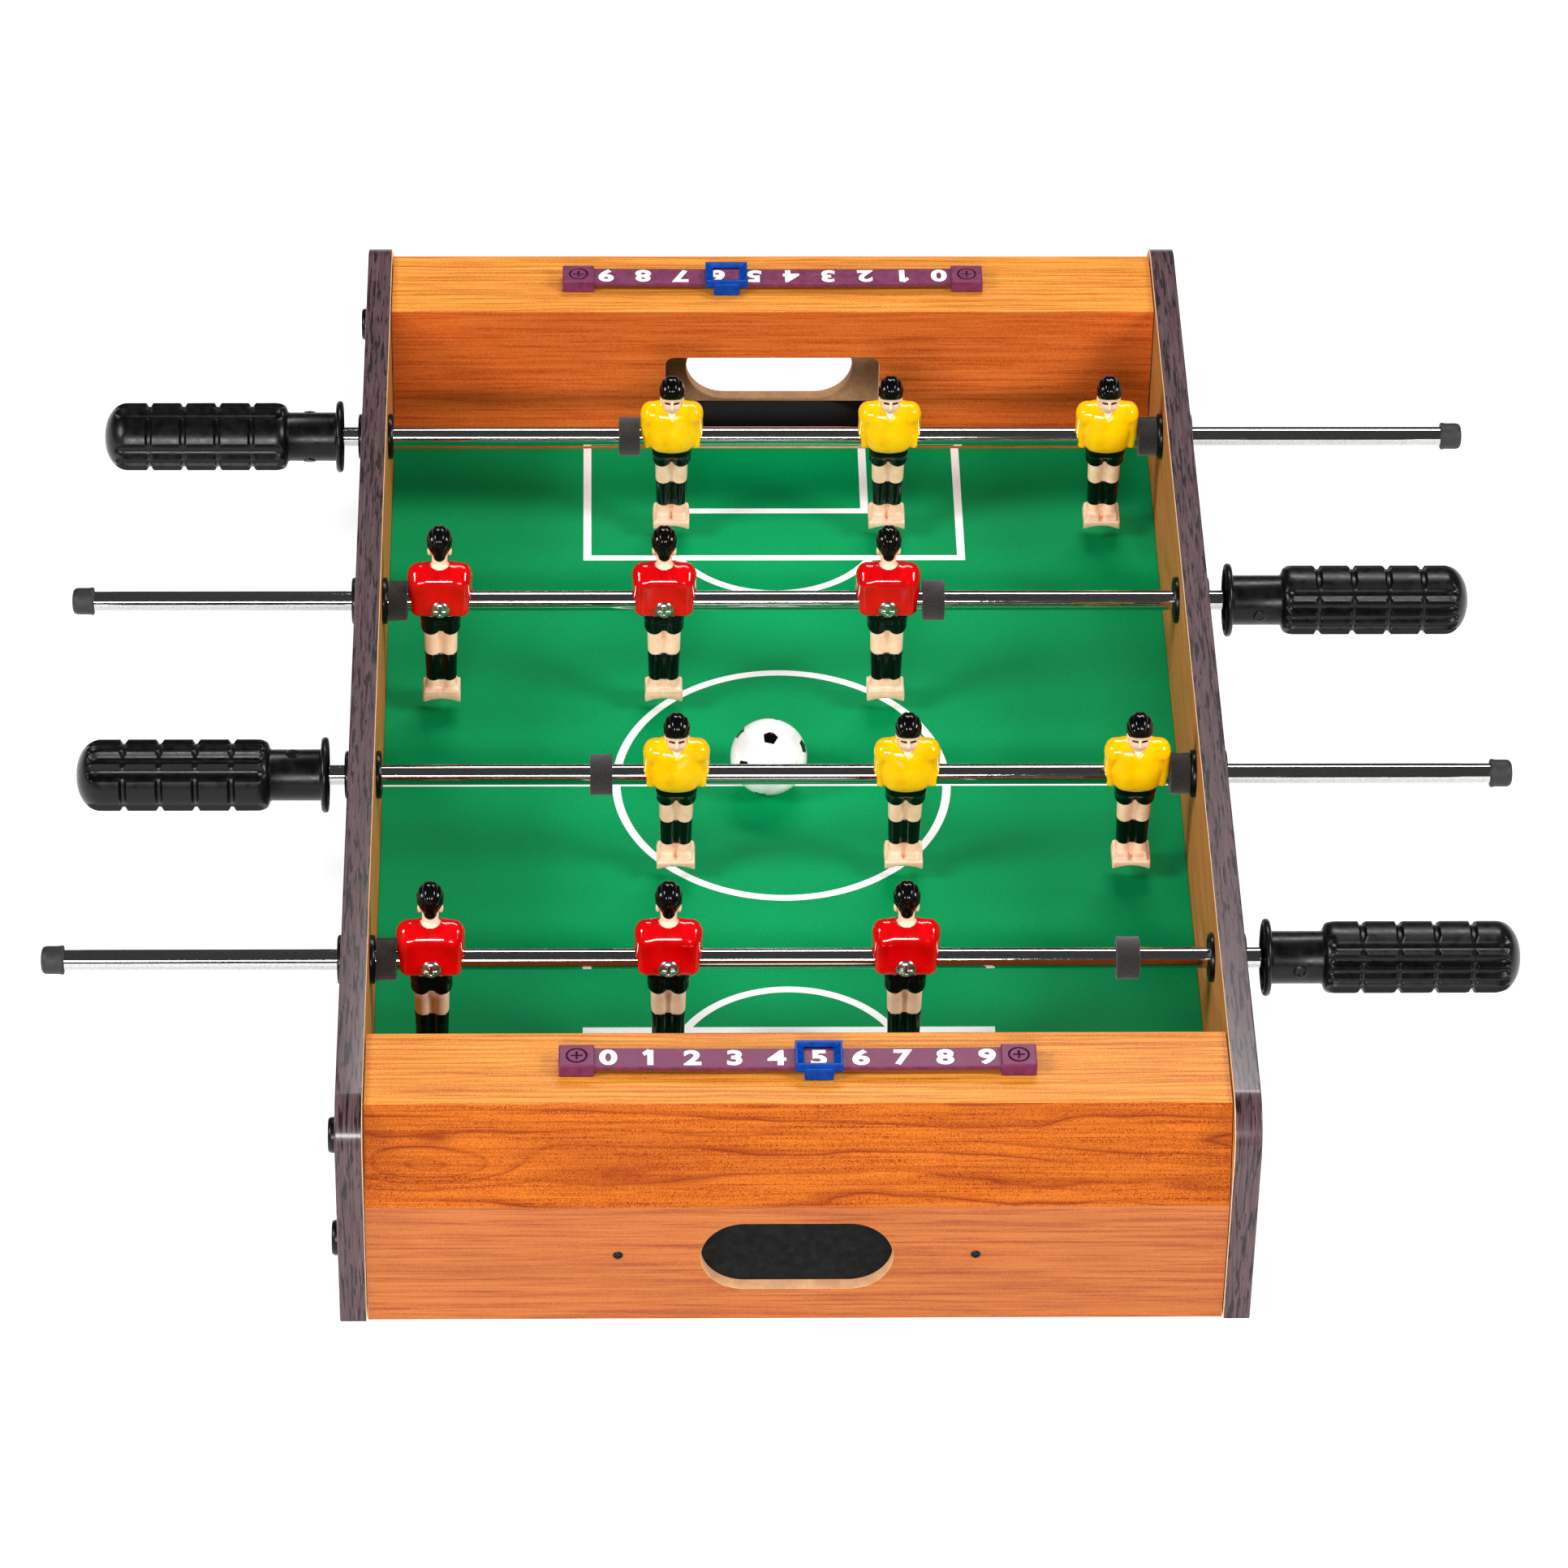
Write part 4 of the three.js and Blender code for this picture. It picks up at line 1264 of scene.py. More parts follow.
def slider_distance(p):
    """A picture-frame window on a sleeve around the strip, with a thumb lug to -Y."""
    body = slab(p, (0, 0.2, 4.2), (8.0, 6.3, 1.8), 0.25)
    lug = slab(p, (0, -6.3, 2.6), (4.9, 1.2, 2.4), 0.2)
    shape = melt(body, lug, 0.3)
    sleeve = slab(p, (0, 0, 3.05), (20, STRIP_HALF_WIDTH + SLEEVE_CLEARANCE, 1.4), 0.1)
    rise = np.maximum(p[..., 2] - WINDOW_FLARE_Z, 0)
    window_x = (np.abs(p[..., 0]) - WINDOW_HALF_SIZE[0] - 1.7 * rise) / 1.6
    window_y = (np.abs(p[..., 1] - 0.1) - WINDOW_HALF_SIZE[1] - 0.4 * rise) / 1.1
    window = np.maximum(np.maximum(window_x, window_y), WINDOW_FLOOR_Z - p[..., 2])
    return carve(carve(shape, sleeve, 0.1), window, 0.15)


def build_score_sliders():
    shape = cast(slider_distance, (-8.6, -10.2, -0.1), (8.6, 7.2, 6.6), 0.27)
    counters = copies([f"counter_{name}" for name, _ in ENDS], shape, [BLUE], sharp=50)
    for piece, (name, _) in zip(counters, ENDS):
        node = f"score_slider_{name}"
        bar_y = middle(f"score_bar_{name}")[1]
        put(piece, middle(node)[0], bar_y, BOARD_TOP_Z)
        stand_for(piece, "score_slider", node)


# ---------------------------------------------------------------- rods and what they carry

ROD_RADIUS = 3.65
ROD_BORE_RADIUS = 2.85
BUMPER_RADIUS = 7.5
BUMPER_PINCH = 0.22
BUMPER_RIPPLE = 0.045
FLANGE_RADIUS = 8.55


def build_rods():
    for number in RODS:
        node = f"rod_{number}"
        x0, x1 = low(node)[0], high(node)[0]
        edge = 0.25
        profile = [
            (x0, ROD_BORE_RADIUS), (x0, ROD_RADIUS - edge), (x0 + edge, ROD_RADIUS),
            *[(x, ROD_RADIUS) for x in np.linspace(x0 + 2, x1 - 2, 12)],
            (x1 - edge, ROD_RADIUS), (x1, ROD_RADIUS - edge), (x1, ROD_BORE_RADIUS),
        ]
        tube = make(f"tube_{number}", turned(profile, 64, closed=True), [CHROME])
        put(tube, 0, middle(node)[1], ROD_Z)
        stand_for(tube, "rod", node)


def build_bushings():
    """Nylon bushings: a flange on each face of the panel, a raised rim and a collar."""
    flange_in = PANEL_INNER_X - 0.1
    flange_out = PANEL_OUTER_X + 0.1
    bore, barrel, rim = ROD_RADIUS + 0.1, BARREL_RADIUS, FLANGE_RADIUS
    for number in RODS:
        for name, side in SIDES:
            node = f"bushing_{number}_{name}"
            inner_tip = min(abs(low(node)[0]), abs(high(node)[0]))
            outer_tip = max(abs(low(node)[0]), abs(high(node)[0]))
            face = [(inner_tip + 0.2, bore), (inner_tip, bore + 0.3), (inner_tip, bore + 1.3),
                    (inner_tip + 0.7, bore + 1.7), (inner_tip + 0.8, rim - 1.9), (inner_tip + 0.2, rim - 1.4),
                    (inner_tip, rim - 1.0), (inner_tip + 0.1, rim - 0.35), (inner_tip + 0.6, rim),
                    (flange_in - 0.3, rim), (flange_in, rim - 0.3), (flange_in, barrel)]
            back = [(flange_out, barrel), (flange_out, rim - 0.3), (flange_out + 0.3, rim),
                    (outer_tip - 0.6, rim), (outer_tip - 0.1, rim - 0.4), (outer_tip, rim - 1.1),
                    (outer_tip - 0.2, rim - 1.6), (outer_tip - 0.9, rim - 2.1), (outer_tip - 0.8, bore + 1.6),
                    (outer_tip, bore + 1.2), (outer_tip, bore + 0.3), (outer_tip - 0.2, bore)]
            bush = make(f"bush_{number}_{name}", turned(face + back, 48, closed=True), [BLACK])
            put(bush, 0, middle(node)[1], ROD_Z, turn=0 if side > 0 else 180)
            stand_for(bush, "black_plastic", node)


def build_bumpers():
    """Cut rings of closed-cell foam, a little pinched in the middle."""
    for number in RODS:
        for place in ("cap_side", "handle_side"):
            node = f"bumper_{number}_{place}"
            length = high(node)[0] - low(node)[0]
            half, radius, bore = length / 2, BUMPER_RADIUS, ROD_RADIUS + 0.05
            across = [(-half, radius - 0.35), (-half + 0.2, radius - 0.08)]
            across += [(x, radius - BUMPER_PINCH * (1 - (x / half) ** 2))
                       for x in np.linspace(-half + 0.5, half - 0.5, 12)]
            across += [(half - 0.2, radius - 0.08), (half, radius - 0.35)]
            ends_out = [(half - 0.15, r) for r in np.linspace(radius - 1.1, bore, 5)]
            ends_in = [(-half + 0.15, r) for r in np.linspace(bore, radius - 1.1, 5)]
            seed = number * 7.0 + len(place)

            def uneven(x, r, angle):
                swell = math.sin(3 * angle + seed) + 0.6 * math.sin(7 * angle + 1.7 * seed + x)
                grain = 0.5 * math.sin(19 * angle + 5 * x + seed)
                return r + BUMPER_RIPPLE * (swell + grain) * (r > bore + 1)

            shape = turned(across + ends_out + ends_in, 72, closed=True, radius_at=uneven)
            ring = make(f"foam_ring_{number}_{place}", shape, [FOAM])
            put(ring, middle(node)[0], middle(f"rod_{number}")[1], ROD_Z)
            stand_for(ring, "foam", node)


def build_end_caps():
    """Rubber cups pushed over the rods' free ends. The mouth is at x = 0."""
    profile = [
        (5.6, 0), (5.6, 3.1), (5.3, 3.6), (0.3, 3.7), (0, 4.0), (0, 4.75), (0.25, 5.05), (0.9, 5.1),
        (1.5, 4.95), (2.2, 4.9), (5.6, 4.9), (6.4, 4.82), (7.05, 4.55), (7.55, 4.0), (7.85, 3.2),
        (8.0, 2.2), (8.0, 0),
    ]
    caps = copies([f"cap_{number}" for number in RODS], turned(profile, 48), [RUBBER], sharp=50)
    for cap, number in zip(caps, RODS):
        node = f"end_cap_{number}"
        right = middle(node)[0] > 0
        mouth = low(node)[0] if right else high(node)[0]
        put(cap, mouth, middle(node)[1], ROD_Z, turn=0 if right else 180)
        stand_for(cap, "end_cap", node)


HANDLE_FLANGE_RADIUS = 13.5
HANDLE_NECK_RADIUS = 9.15
GRIP_RADIUS = 12.8
GRIP_START = 21.0
GROOVES = 4
GROOVE_PITCH = 12.8
GROOVE_OFFSET = 0.4
GROOVE_DEPTH = 1.45
GROOVE_HALF_WIDTH = 1.4
GROOVE_FLOOR_HALF = 0.5
TIP_ROUNDING = 8.6
TIP_DROP = 12.0
NECK_ROUNDING = 4.4
NECK_DROP = 2.6
RIM_ROUNDING = 1.3
BORE_DEPTH = 30.0
BOSS_X = -12.7
VALLEY_DEPTH = 2.0
VALLEY_START = GRIP_START + 1.4
VALLEY_END_GAP = 4.2
PAD_ARC = 43.0
STRIP_ARCS = (29.0, 21.7, 17.8, 17.8, 21.7, 29.0)
PAD_STEPS = 12
STRIP_STEPS = 10
CREST_HALF_WIDTH = 0.18
ROW_STEP = 0.55

# Where the middle of one wide pad stands on each handle, in degrees above the -Y side.
PAD_PLACES = {1: 46.0, 2: 87.0, 3: 7.0, 4: 97.0}


def grip_angles():
    """Angles round the grip, each with its distance from the strip's middle and its half width."""
    around = []
    angle = -PAD_ARC / 2
    for _ in range(2):
        around += [(angle + PAD_ARC * k / PAD_STEPS, 0.0, 0.0) for k in range(PAD_STEPS)]
        angle += PAD_ARC
        for width in STRIP_ARCS:
            half = math.radians(width / 2) * GRIP_RADIUS - CREST_HALF_WIDTH
            for k in range(STRIP_STEPS):
                share = k / STRIP_STEPS
                off = (2 * share - 1) * (half + CREST_HALF_WIDTH)
                around.append((angle + share * width, off, half))
            angle += width
    return around


def valley_depth(x, off, half, length):
    """How deep the moulded valley is at a place on a strip. Its ends are half round."""
    if half == 0:
        return 0.0
    start, end = -VALLEY_START - half, -length + VALLEY_END_GAP + half
    beyond = max(x - start, end - x, 0.0)
    inside = 1 - math.hypot(off, beyond) / half
    if inside <= 0:
        return 0.0
    return min(VALLEY_DEPTH, 0.78 * half) * (1 - (1 - inside) ** 2.2)


def groove_centres():
    return [-GRIP_START - GROOVE_OFFSET - (i + 1) * GROOVE_PITCH for i in range(GROOVES)]


def groove_depth(x):
    """How deep the nearest of the grooves round the grip is at x."""
    nearest = min(abs(x - centre) for centre in groove_centres())
    share = (nearest - GROOVE_FLOOR_HALF) / (GROOVE_HALF_WIDTH - GROOVE_FLOOR_HALF)
    return GROOVE_DEPTH * (1 - min(1.0, max(0.0, share)) ** 0.8)


def grip_radius(x, length):
    """The grip's outer radius at x, rounded at the neck and at the tip."""
    from_neck = -GRIP_START - x
    from_tip = x + length
    radius = GRIP_RADIUS
    if from_neck < NECK_ROUNDING:
        share = 1 - from_neck / NECK_ROUNDING
        radius = GRIP_RADIUS - NECK_DROP * (1 - math.sqrt(1 - min(1.0, share) ** 2))
    if from_tip < TIP_ROUNDING:
        share = 1 - max(0.0, from_tip) / TIP_ROUNDING
        radius = GRIP_RADIUS - TIP_DROP + TIP_DROP * math.sqrt(max(0.0, 1 - share ** 2))
    return radius


def handle_profile():
    """(x, radius) from the bore to the end of the neck. The flange's mouth is at x = 0."""
    neck, rim = HANDLE_NECK_RADIUS, HANDLE_FLANGE_RADIUS
    bore = ROD_RADIUS + 0.05
    edge = rim - RIM_ROUNDING
    profile = [(-BORE_DEPTH, 0), (-BORE_DEPTH, bore), (-4.0, bore), (-3.9, 6.2), (-3.0, 7.4)]
    profile += [(-1.9, 8.4), (-1.35, 9.6), (-1.2, 10.9), (-1.0, edge - 0.75)]
    profile += arc((-RIM_ROUNDING, edge), RIM_ROUNDING, -35, 215, 12)
    profile += [(-2.1, edge - 0.95), (-2.1, neck + 0.75), (-2.2, neck + 0.3), (-2.7, neck + 0.05)]
    profile += [(-3.4, neck), (-12, neck), (-GRIP_START + 1.0, neck), (-GRIP_START + 0.25, neck + 0.25)]
    return profile


def grip_rows(length):
    """Where the grip's rings stand along it, closer together on its rounded ends."""
    rows = list(np.arange(-GRIP_START, -length + TIP_ROUNDING, -ROW_STEP))
    edge = GROOVE_HALF_WIDTH
    for centre in groove_centres():
        rows = [x for x in rows if abs(x - centre) > edge + 0.3]
        rows += [centre + side * off for side in (-1, 1)
                 for off in (GROOVE_FLOOR_HALF, 0.75, 1.0, 1.2, edge, edge + 0.25)]
    rows += [-length + TIP_ROUNDING * (1 - math.sin(a)) for a in np.linspace(0, math.pi / 2, 22)[1:]]
    return sorted(rows, reverse=True)


def handle_shape(length, screw_hole):
    """Flange, neck and grip in one skin, with a boss on each side of the neck."""
    around = grip_angles()
    rings = [(x, [radius] * len(around)) for x, radius in handle_profile()]
    for x in grip_rows(length):
        radius = grip_radius(x, length)
        drops = [max(groove_depth(x), valley_depth(x, off, half, length)) for _, off, half in around]
        rings.append((x, [radius - drop for drop in drops]))
    turns = [math.radians(angle) for angle, _, _ in around]
    loops = []
    for x, radii in rings:
        loop = [(x, -r * math.cos(a), r * math.sin(a)) for r, a in zip(radii, turns)]
        loops.append(loop if max(radii) > 1e-6 else loop[:1])
    loops.append([(-length, 0, 0)])
    return lofted(loops) + boss_shape(screw_hole, 1) + boss_shape(False, -1)


def boss_shape(screw_hole, side):
    """A round boss on the neck over the fixing screw, with its hole if that is open."""
    face = HANDLE_NECK_RADIUS
    hole = [(face - 1.4, 0), (face - 1.4, 1.25), (face + 0.1, 1.25)] if screw_hole else [(face + 0.05, 0)]
    ring = [(face + 0.28, 1.6), (face + 0.3, 2.0), (face + 0.05, 2.45), (face - 0.9, 2.5), (face - 2.2, 2.5)]
    boss = turned(hole + ring + [(face - 2.2, 0)], 28)
    return boss.mapped(lambda p: np.stack([p[:, 1] + BOSS_X, p[:, 2], side * p[:, 0]], 1))


def build_handles():
    for number in RODS:
        node = f"handle_{number}"
        length = high(node)[0] - low(node)[0]
        shape = handle_shape(length, screw_hole=number == 4)
        grip = make(f"grip_{number}", shape, [BLACK], sharp=32)
        right = middle(node)[0] > 0
        mouth = low(node)[0] if right else high(node)[0]
        pad = PAD_PLACES[number]
        turn, roll = (180, 180 + pad) if right else (0, -pad)
        put(grip, mouth, middle(node)[1], ROD_Z, turn=turn, roll=roll)
        stand_for(grip, "handle", node)


# ---------------------------------------------------------------- men

def shirt_body(p):
    """Torso and arms in one moulding, before the neckline is cut. The man faces -Y."""
    q = mirrored(p)
    shape = slab(q, (0, -0.6, 5.4), (8.3, 5.7, 10.0), 4.2)
    shape = melt(shape, egg(q, (0, -2.6, 4.4), (8.8, 5.2, 9.4)), 2.2)
    shape = melt(shape, limb(q, (0, -0.8, 14.2), (6.6, -0.7, 13.2), 2.9, 2.5, 1.25), 1.6)
    shape = melt(shape, egg(q, (8.0, -0.7, 11.6), (3.75, 4.7, 4.3)), 1.1)
    upper = limb(q, (9.2, -0.7, 11.0), (9.55, -0.5, 4.6), 2.45, 2.2, 1.75)
    lower = limb(q, (9.5, -0.9, 3.0), (9.2, -1.6, -1.2), 2.25, 1.95, 1.7)
    shape = melt(shape, upper, 0.7)
    shape = melt(shape, lower, 0.45)
    back = slab(q, (0, 2.8, 4.5), (10.9, 2.9, 9.0), 3.3)
    return melt(shape, back, 1.2)


def neckline(p):
    """The V at the front and the round opening at the neck."""
    x, y, z = np.abs(p[..., 0]), p[..., 1], p[..., 2]
    vee = np.maximum((x - 0.62 * (z - 11.9)) / 1.18, y + 0.8)
    collar = np.maximum(length_of(np.stack([x, y + 1.4], -1)) - 3.5, 13.8 - z)
    return melt(vee, collar, 0.5)


def rod_bore(p):
    return length_of(p[..., 1:]) - (ROD_RADIUS + 0.05)


def shirt(p):
    shape = carve(shirt_body(p), neckline(p), 0.45)
    shape = both(shape, -4.6 - p[..., 2], 0.8)
    return carve(shape, rod_bore(p), 0.2)


def head_skin(p):
    """Neck, face and ears, with the bare chest that shows in the V."""
    q = mirrored(p)
    chest = np.maximum(shirt_body(p) + 0.5, np.maximum(np.abs(p[..., 0]) - 4.6, 9.6 - p[..., 2]))
    shape = melt(chest, limb(q, (0, -0.9, 12.5), (0, -3.2, 19.5), 2.95, 2.8), 0.9)
    shape = melt(shape, egg(q, (0, -4.8, 20.0), (3.2, 3.9, 5.0)), 0.7)
    shape = melt(shape, egg(q, (0, -4.2, 24.0), (4.1, 4.7, 5.2)), 1.0)
    shape = melt(shape, egg(q, (1.8, -6.3, 19.4), (1.6, 1.9, 2.2)), 0.8)
    shape = melt(shape, egg(q, (3.75, -3.5, 20.4), (0.75, 1.15, 1.9)), 0.3)
    shape = melt(shape, limb(q, (0, -8.6, 21.9), (0, -9.3, 20.0), 0.4, 0.65), 0.6)
    shape = carve(shape, limb(q, (0, -8.75, 17.9), (0.95, -8.3, 17.95), 0.2, 0.15), 0.25)
    return shape


def eyes(p):
    q = mirrored(p)
    return limb(q, (0.95, -8.65, 21.75), (2.5, -7.8, 21.45), 0.44, 0.32)


def hair(p):
    """Combed-back hair with ridges from front to back, down to a point at the nape."""
    x, y, z = p[..., 0], p[..., 1], p[..., 2]
    roll = np.arctan2(x, z - 21.5)
    ridges = 0.34 * np.abs(np.sin(9 * roll)) * np.clip((z - 19) / 4, 0, 1)
    cap = egg(p, (0, -4.1, 24.6), (4.45, 5.2, 5.6)) - ridges
    nape = limb(p, (0, -1.8, 22.0), (0, -0.7, 20.2), 3.1, 2.2)
    shape = melt(cap, nape, 1.0)
    hairline = -0.497 * (y + 8.6) - 0.868 * (z - 23.5)
    return both(shape, hairline, 0.5)


def shorts(p):
    """Shorts with a crease between the legs, and a hem that rises at each leg's sides."""
    q = mirrored(p)
    waist = slab(q, (0, 0.0, -4.5), (7.3, 4.9, 4.0), 3.0)
    legs = limb(q, (3.45, 0.2, -4.0), (3.5, 0.9, -11.5), 4.1, 3.75, 1.2)
    seat = slab(q, (0, 1.7, -7.4), (3.6, 3.1, 3.7), 1.4)
    shape = melt(melt(waist, legs, 0.6), seat, 0.5)
    crease = limb(p, (0, -5.2, -13), (0, -5.4, -6), 0.7, 0.1)
    shape = carve(shape, crease, 0.7)
    hem = np.abs(q[..., 0] - 3.5)
    shape = both(shape, -12.0 + 0.05 * hem ** 2 - p[..., 2], 0.7)
    return both(shape, p[..., 2] + 3.0, 0.2)


def legs(p):
    """Thighs, and the bare ankles and feet on their kicking block."""
    q = mirrored(p)
    thigh = limb(q, (3.05, 0.7, -8.0), (3.05, 1.9, -20.5), 3.2, 2.9, 1.12)
    shin = limb(q, (2.95, 2.0, -20.5), (2.85, 3.0, -32.0), 2.6, 2.35, 1.1)
    ankle = limb(q, (2.9, 3.1, -32.0), (3.1, 3.0, -38.5), 2.45, 2.9, 1.1)
    limbs = melt(melt(melt(thigh, shin, 0.5), ankle, 0.5), foot_block(q), 0.7)
    return melt(limbs, leg_web(q), 0.3)


def leg_web(q, swell=0.0):
    """The moulded web between the two legs, which leaves only a groove at the front."""
    return limb(q, (0, 1.0, -9.0), (0, 3.3, -36.0), 1.9 + swell, 1.8 + swell, 1.1)


def foot_block(q):
    """Both feet in one block, with a raised heel, a dimple between the toes and a hollow sole."""
    base = slab(q, (0, 2.0, -40.35), (6.85, 5.45, 1.95), 0.55)
    heel = slab(q, (3.3, 4.7, -39.2), (3.35, 2.7, 2.6), 0.9)
    pad = slab(q, (3.35, -0.5, -38.3), (2.55, 2.35, 1.2), 0.8)
    shape = melt(melt(base, heel, 0.7), pad, 0.45)
    dimple = egg(q, (0, 0.6, -37.6), (0.9, 1.3, 1.7))
    arch = length_of(np.stack([q[..., 0], q[..., 2] + 54.3], -1)) - 14.0
    return carve(carve(shape, dimple, 0.5), arch, 0.3)


def socks(p):
    q = mirrored(p)
    shape = limb(q, (2.98, 1.9, -19.5), (2.85, 3.0, -34.0), 3.02, 2.75, 1.12)
    shape = melt(shape, leg_web(q, swell=0.35), 0.3)
    return both(both(shape, p[..., 2] + 21.3, 0.4), -32.9 - p[..., 2], 0.4)


# Each moulding's shape, the box it fills, its grid's step and the number of its material.
MAN_PARTS = (
    (head_skin, (-6.5, -11, 8.5), (6.5, 4.5, 31), 0.4, 0),
    (legs, (-8, -5, -43.5), (8, 9, -4), 0.52, 0),
    (shirt, (-13, -9, -6), (13, 8, 18), 0.52, 1),
    (shorts, (-8.6, -6.5, -13.5), (8.6, 7, -2), 0.5, 2),
    (socks, (-7, -3, -34), (7, 8, -19.5), 0.5, 2),
    (hair, (-5.9, -10.5, 14.5), (5.9, 3, 32), 0.34, 2),
    (eyes, (-3.5, -9.2, 20.8), (3.5, -6.8, 23.2), 0.2, 2),
)
SCREW_RADIUS = 3.7
SCREW_HEIGHT = 2.1
SCREW_GRID = 0.24
SCREW_PLACE = (0.0, 5.35, 0.2)


def man_shape():
    shape = Shape()
    for distance, lowest, highest, step, number in MAN_PARTS:
        part = cast(distance, lowest, highest, step)
        part.paint = [number] * len(part.faces)
        shape += part
    return shape


def build_men():
    shape = man_shape()
    screw_head = screw_shape(SCREW_RADIUS, SCREW_HEIGHT, SCREW_GRID)
    screw = make("man_screw_pattern", screw_head, [STEEL], sharp=60)
    meshes = {
        team: make(f"man_pattern_{team}", shape, [SKIN, SHIRTS[team], BLACK_PAINT], sharp=70)
        for team in SHIRTS
    }
    for number in RODS:
        turned_round = middle(f"handle_{number}")[0] > 0
        team = "red" if turned_round else "yellow"
        turn = 180 if turned_round else 0
        for place in ("left", "middle", "right"):
            node = f"man_{number}_{place}"
            x, y = middle(node)[0], middle(f"rod_{number}")[1]
            figure = put(show(f"player_{number}_{place}", meshes[team].data), x, y, ROD_Z, turn)
            stand_for(figure, f"man_{team}", node)
            fixing = show(f"player_screw_{number}_{place}", screw.data)
            back = Matrix.Rotation(math.radians(turn), 3, "Z") @ Vector(SCREW_PLACE)
            put(fixing, x + back.x, y + back.y, ROD_Z + back.z, turn)
            add_to(fixing, body_of(node))
    for pattern in (screw, *meshes.values()):
        bpy.data.objects.remove(pattern)


# ---------------------------------------------------------------- ball

BALL_STEPS = 24
BALL_PATCH_AIM = (0.03, -0.345, 0.94)
BALL_NEIGHBOUR_TURN = 5.0


def ball_turn(patch, neighbour):
    """The turn that lays one patch towards the front and above, and its neighbour to +X."""
    def axes(ahead, side):
        ahead = ahead.normalized()
        side = (side - ahead * side.dot(ahead)).normalized()
        return Matrix((side, ahead.cross(side), ahead)).transposed()

    twist = Matrix.Rotation(math.radians(BALL_NEIGHBOUR_TURN), 3, "Z")
    aim = axes(Vector(BALL_PATCH_AIM), Vector((1, 0, 0)))
    return (aim @ twist @ axes(patch, neighbour).transposed()).to_4x4()


PATCH_STEPS = 5
SEAM_DEPTH = 0.14


def build_ball():
    """A white ball with twelve small five-sided patches, joined by pressed seams."""
    radius = (high("ball")[2] - low("ball")[2]) / 2
    golden = (1 + math.sqrt(5)) / 2
    tips = []
    for a in (-1, 1):
        for b in (-golden, golden):
            tips += [(0, a, b), (a, b, 0), (b, 0, a)]
    tips = np.array(tips) / math.hypot(1, golden)
    near = [[np.linalg.norm(p - q) < 1.1 for q in tips] for p in tips]
    triangles = [(i, j, k) for i in range(12) for j in range(i) for k in range(j)
                 if near[i][j] and near[j][k] and near[i][k]]
    points, faces, paint_of, seen = [], [], [], {}

    def corner(triangle, weights):
        place = sum(w * tips[t] for w, t in zip(weights, triangle)) / BALL_STEPS
        place = place / np.linalg.norm(place)
        key = tuple(np.round(place, 5))
        if key not in seen:
            seen[key] = len(points)
            on_seam = 0 in weights and max(weights) <= BALL_STEPS - PATCH_STEPS
            points.append(place * (radius - (SEAM_DEPTH if on_seam else 0)))
        return seen[key]

    for triangle in triangles:
        for i in range(BALL_STEPS):
            for j in range(BALL_STEPS - i):
                k = BALL_STEPS - i - j
                cells = [[(i, j, k), (i + 1, j, k - 1), (i, j + 1, k - 1)]]
                if k > 1:
                    cells.append([(i + 1, j, k - 1), (i + 1, j + 1, k - 2), (i, j + 1, k - 1)])
                for cell in cells:
                    face = [corner(triangle, weights) for weights in cell]
                    centre = points[face[0]] + points[face[1]] + points[face[2]]
                    edge_a = points[face[1]] - points[face[0]]
                    edge_b = points[face[2]] - points[face[0]]
                    faces.append(face if np.cross(edge_a, edge_b) @ centre > 0 else face[::-1])
                    weight = max(sum(w[n] for w in cell) / 3 for n in range(3))
                    paint_of.append(1 if weight > BALL_STEPS - PATCH_STEPS else 0)
    shape = Shape(points, faces)
    shape.paint = paint_of
    sphere = make("football", shape, [ball_white(), BLACK_PAINT], sharp=60)
    x, y, z = middle("ball") * MM
    sphere.matrix_world = Matrix.Translation((x, y, z)) @ ball_turn(Vector(tips[0]), Vector(tips[2]))
    stand_for(sphere, "ball", "ball")


# ---------------------------------------------------------------- stage

CAMERA_PLACE = (-65.64, -2048.56, 1734.37)
CAMERA_DOWN = 39.829
CAMERA_YAW = -1.859
CAMERA_ROLL = 1.096
CAMERA_LENS = 167.79


def build_camera():
    down, yaw, roll = (math.radians(a) for a in (CAMERA_DOWN, CAMERA_YAW, CAMERA_ROLL))
    level_right = Vector((math.cos(yaw), math.sin(yaw), 0))
    level_ahead = Vector((-math.sin(yaw), math.cos(yaw), 0))
    ahead = level_ahead * math.cos(down) - Vector((0, 0, math.sin(down)))
    level_up = level_ahead * math.sin(down) + Vector((0, 0, math.cos(down)))
    right = level_right * math.cos(roll) + level_up * math.sin(roll)
    up = level_up * math.cos(roll) - level_right * math.sin(roll)
    axes = Matrix((right, up, -ahead)).transposed()
    data = bpy.data.cameras.new("camera")
    data.lens = CAMERA_LENS
    data.sensor_width = 36.0
    data.clip_start, data.clip_end = 0.1, 20.0
    camera = bpy.data.objects.new("camera", data)
    camera.matrix_world = Matrix.Translation(Vector(CAMERA_PLACE) * MM) @ axes.to_4x4()
    bpy.context.scene.collection.objects.link(camera)
    bpy.context.scene.camera = camera


FLOOR_REACH = 6.0
FLOOR_STEPS = 6
FLOOR_DROP = 0.0002


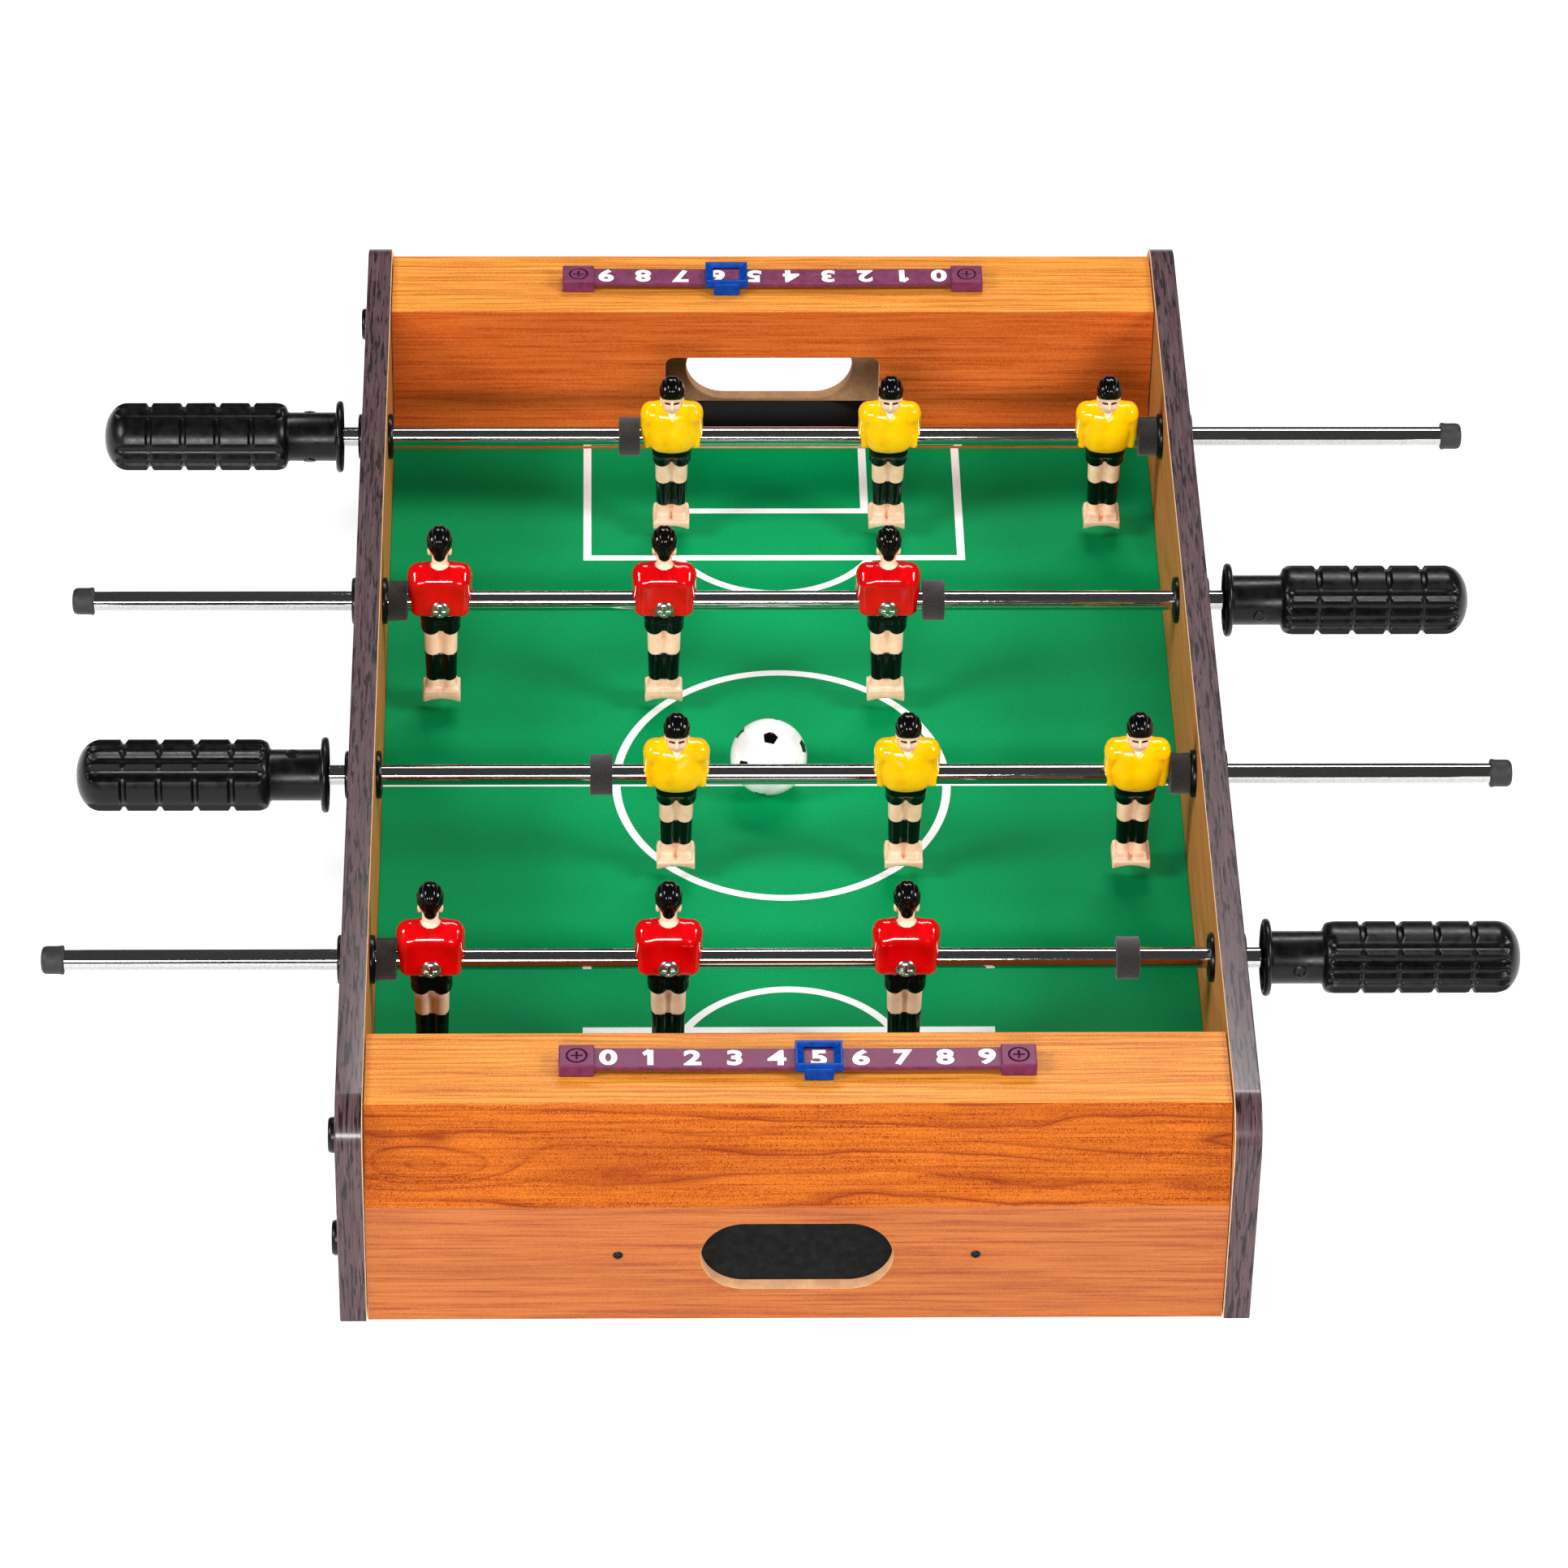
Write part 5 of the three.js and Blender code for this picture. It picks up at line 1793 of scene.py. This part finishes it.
def build_floor():
    places = np.linspace(-FLOOR_REACH, FLOOR_REACH, FLOOR_STEPS + 1)
    points = [(x, y, 0) for y in places for x in places]
    across = len(places)
    corners = [row * across + column for row in range(FLOOR_STEPS) for column in range(FLOOR_STEPS)]
    faces = [(a, a + 1, a + across + 1, a + across) for a in corners]
    mesh = bpy.data.meshes.new("floor")
    mesh.from_pydata(points, [], faces)
    mesh.materials.append(floor_white())
    floor = show("floor", mesh)
    floor.location.z = -FLOOR_DROP


def add_light(name, place, aim, size, power):
    data = bpy.data.lights.new(name, "AREA")
    data.shape = "RECTANGLE"
    data.size, data.size_y = size
    data.energy = power
    light = bpy.data.objects.new(name, data)
    light.location = place
    direction = Vector(aim) - Vector(place)
    light.rotation_euler = direction.to_track_quat("-Z", "Y").to_euler()
    bpy.context.scene.collection.objects.link(light)


WORLD_STRENGTH = 0.07
TABLE_MIDDLE = (0, 0, 0.05)
FAR_BOARD = (0, 0.23, 0.1)

# Each light's place, what it points at, its size in metres and its power in watts.
LIGHTS = {
    "key_left": ((-1.45, -0.6, 1.25), TABLE_MIDDLE, (0.6, 0.6), 27),
    "key_right": ((1.45, -0.6, 1.25), TABLE_MIDDLE, (0.6, 0.6), 27),
    "back": ((0.2, 0.75, 1.1), FAR_BOARD, (0.8, 0.2), 9),
    "fill": ((-0.3, -2.3, 1.15), TABLE_MIDDLE, (1.0, 0.3), 41),
}


def build_lights():
    for name, settings in LIGHTS.items():
        add_light(name, *settings)
    world = bpy.data.worlds.new("studio")
    world.use_nodes = True
    background = world.node_tree.nodes["Background"]
    background.inputs["Color"].default_value = (1, 1, 1, 1)
    background.inputs["Strength"].default_value = WORLD_STRENGTH
    bpy.context.scene.world = world
    bpy.context.scene.view_settings.view_transform = "Standard"


# ---------------------------------------------------------------- all of it

build_camera()
build_side_panels()
build_end_boards()
build_playfield()
build_ball_trays()
build_screw_caps()
build_tray_screws()
build_score_bars()
build_score_sliders()
build_rods()
build_bushings()
build_bumpers()
build_end_caps()
build_handles()
build_men()
build_ball()
build_floor()
build_lights()
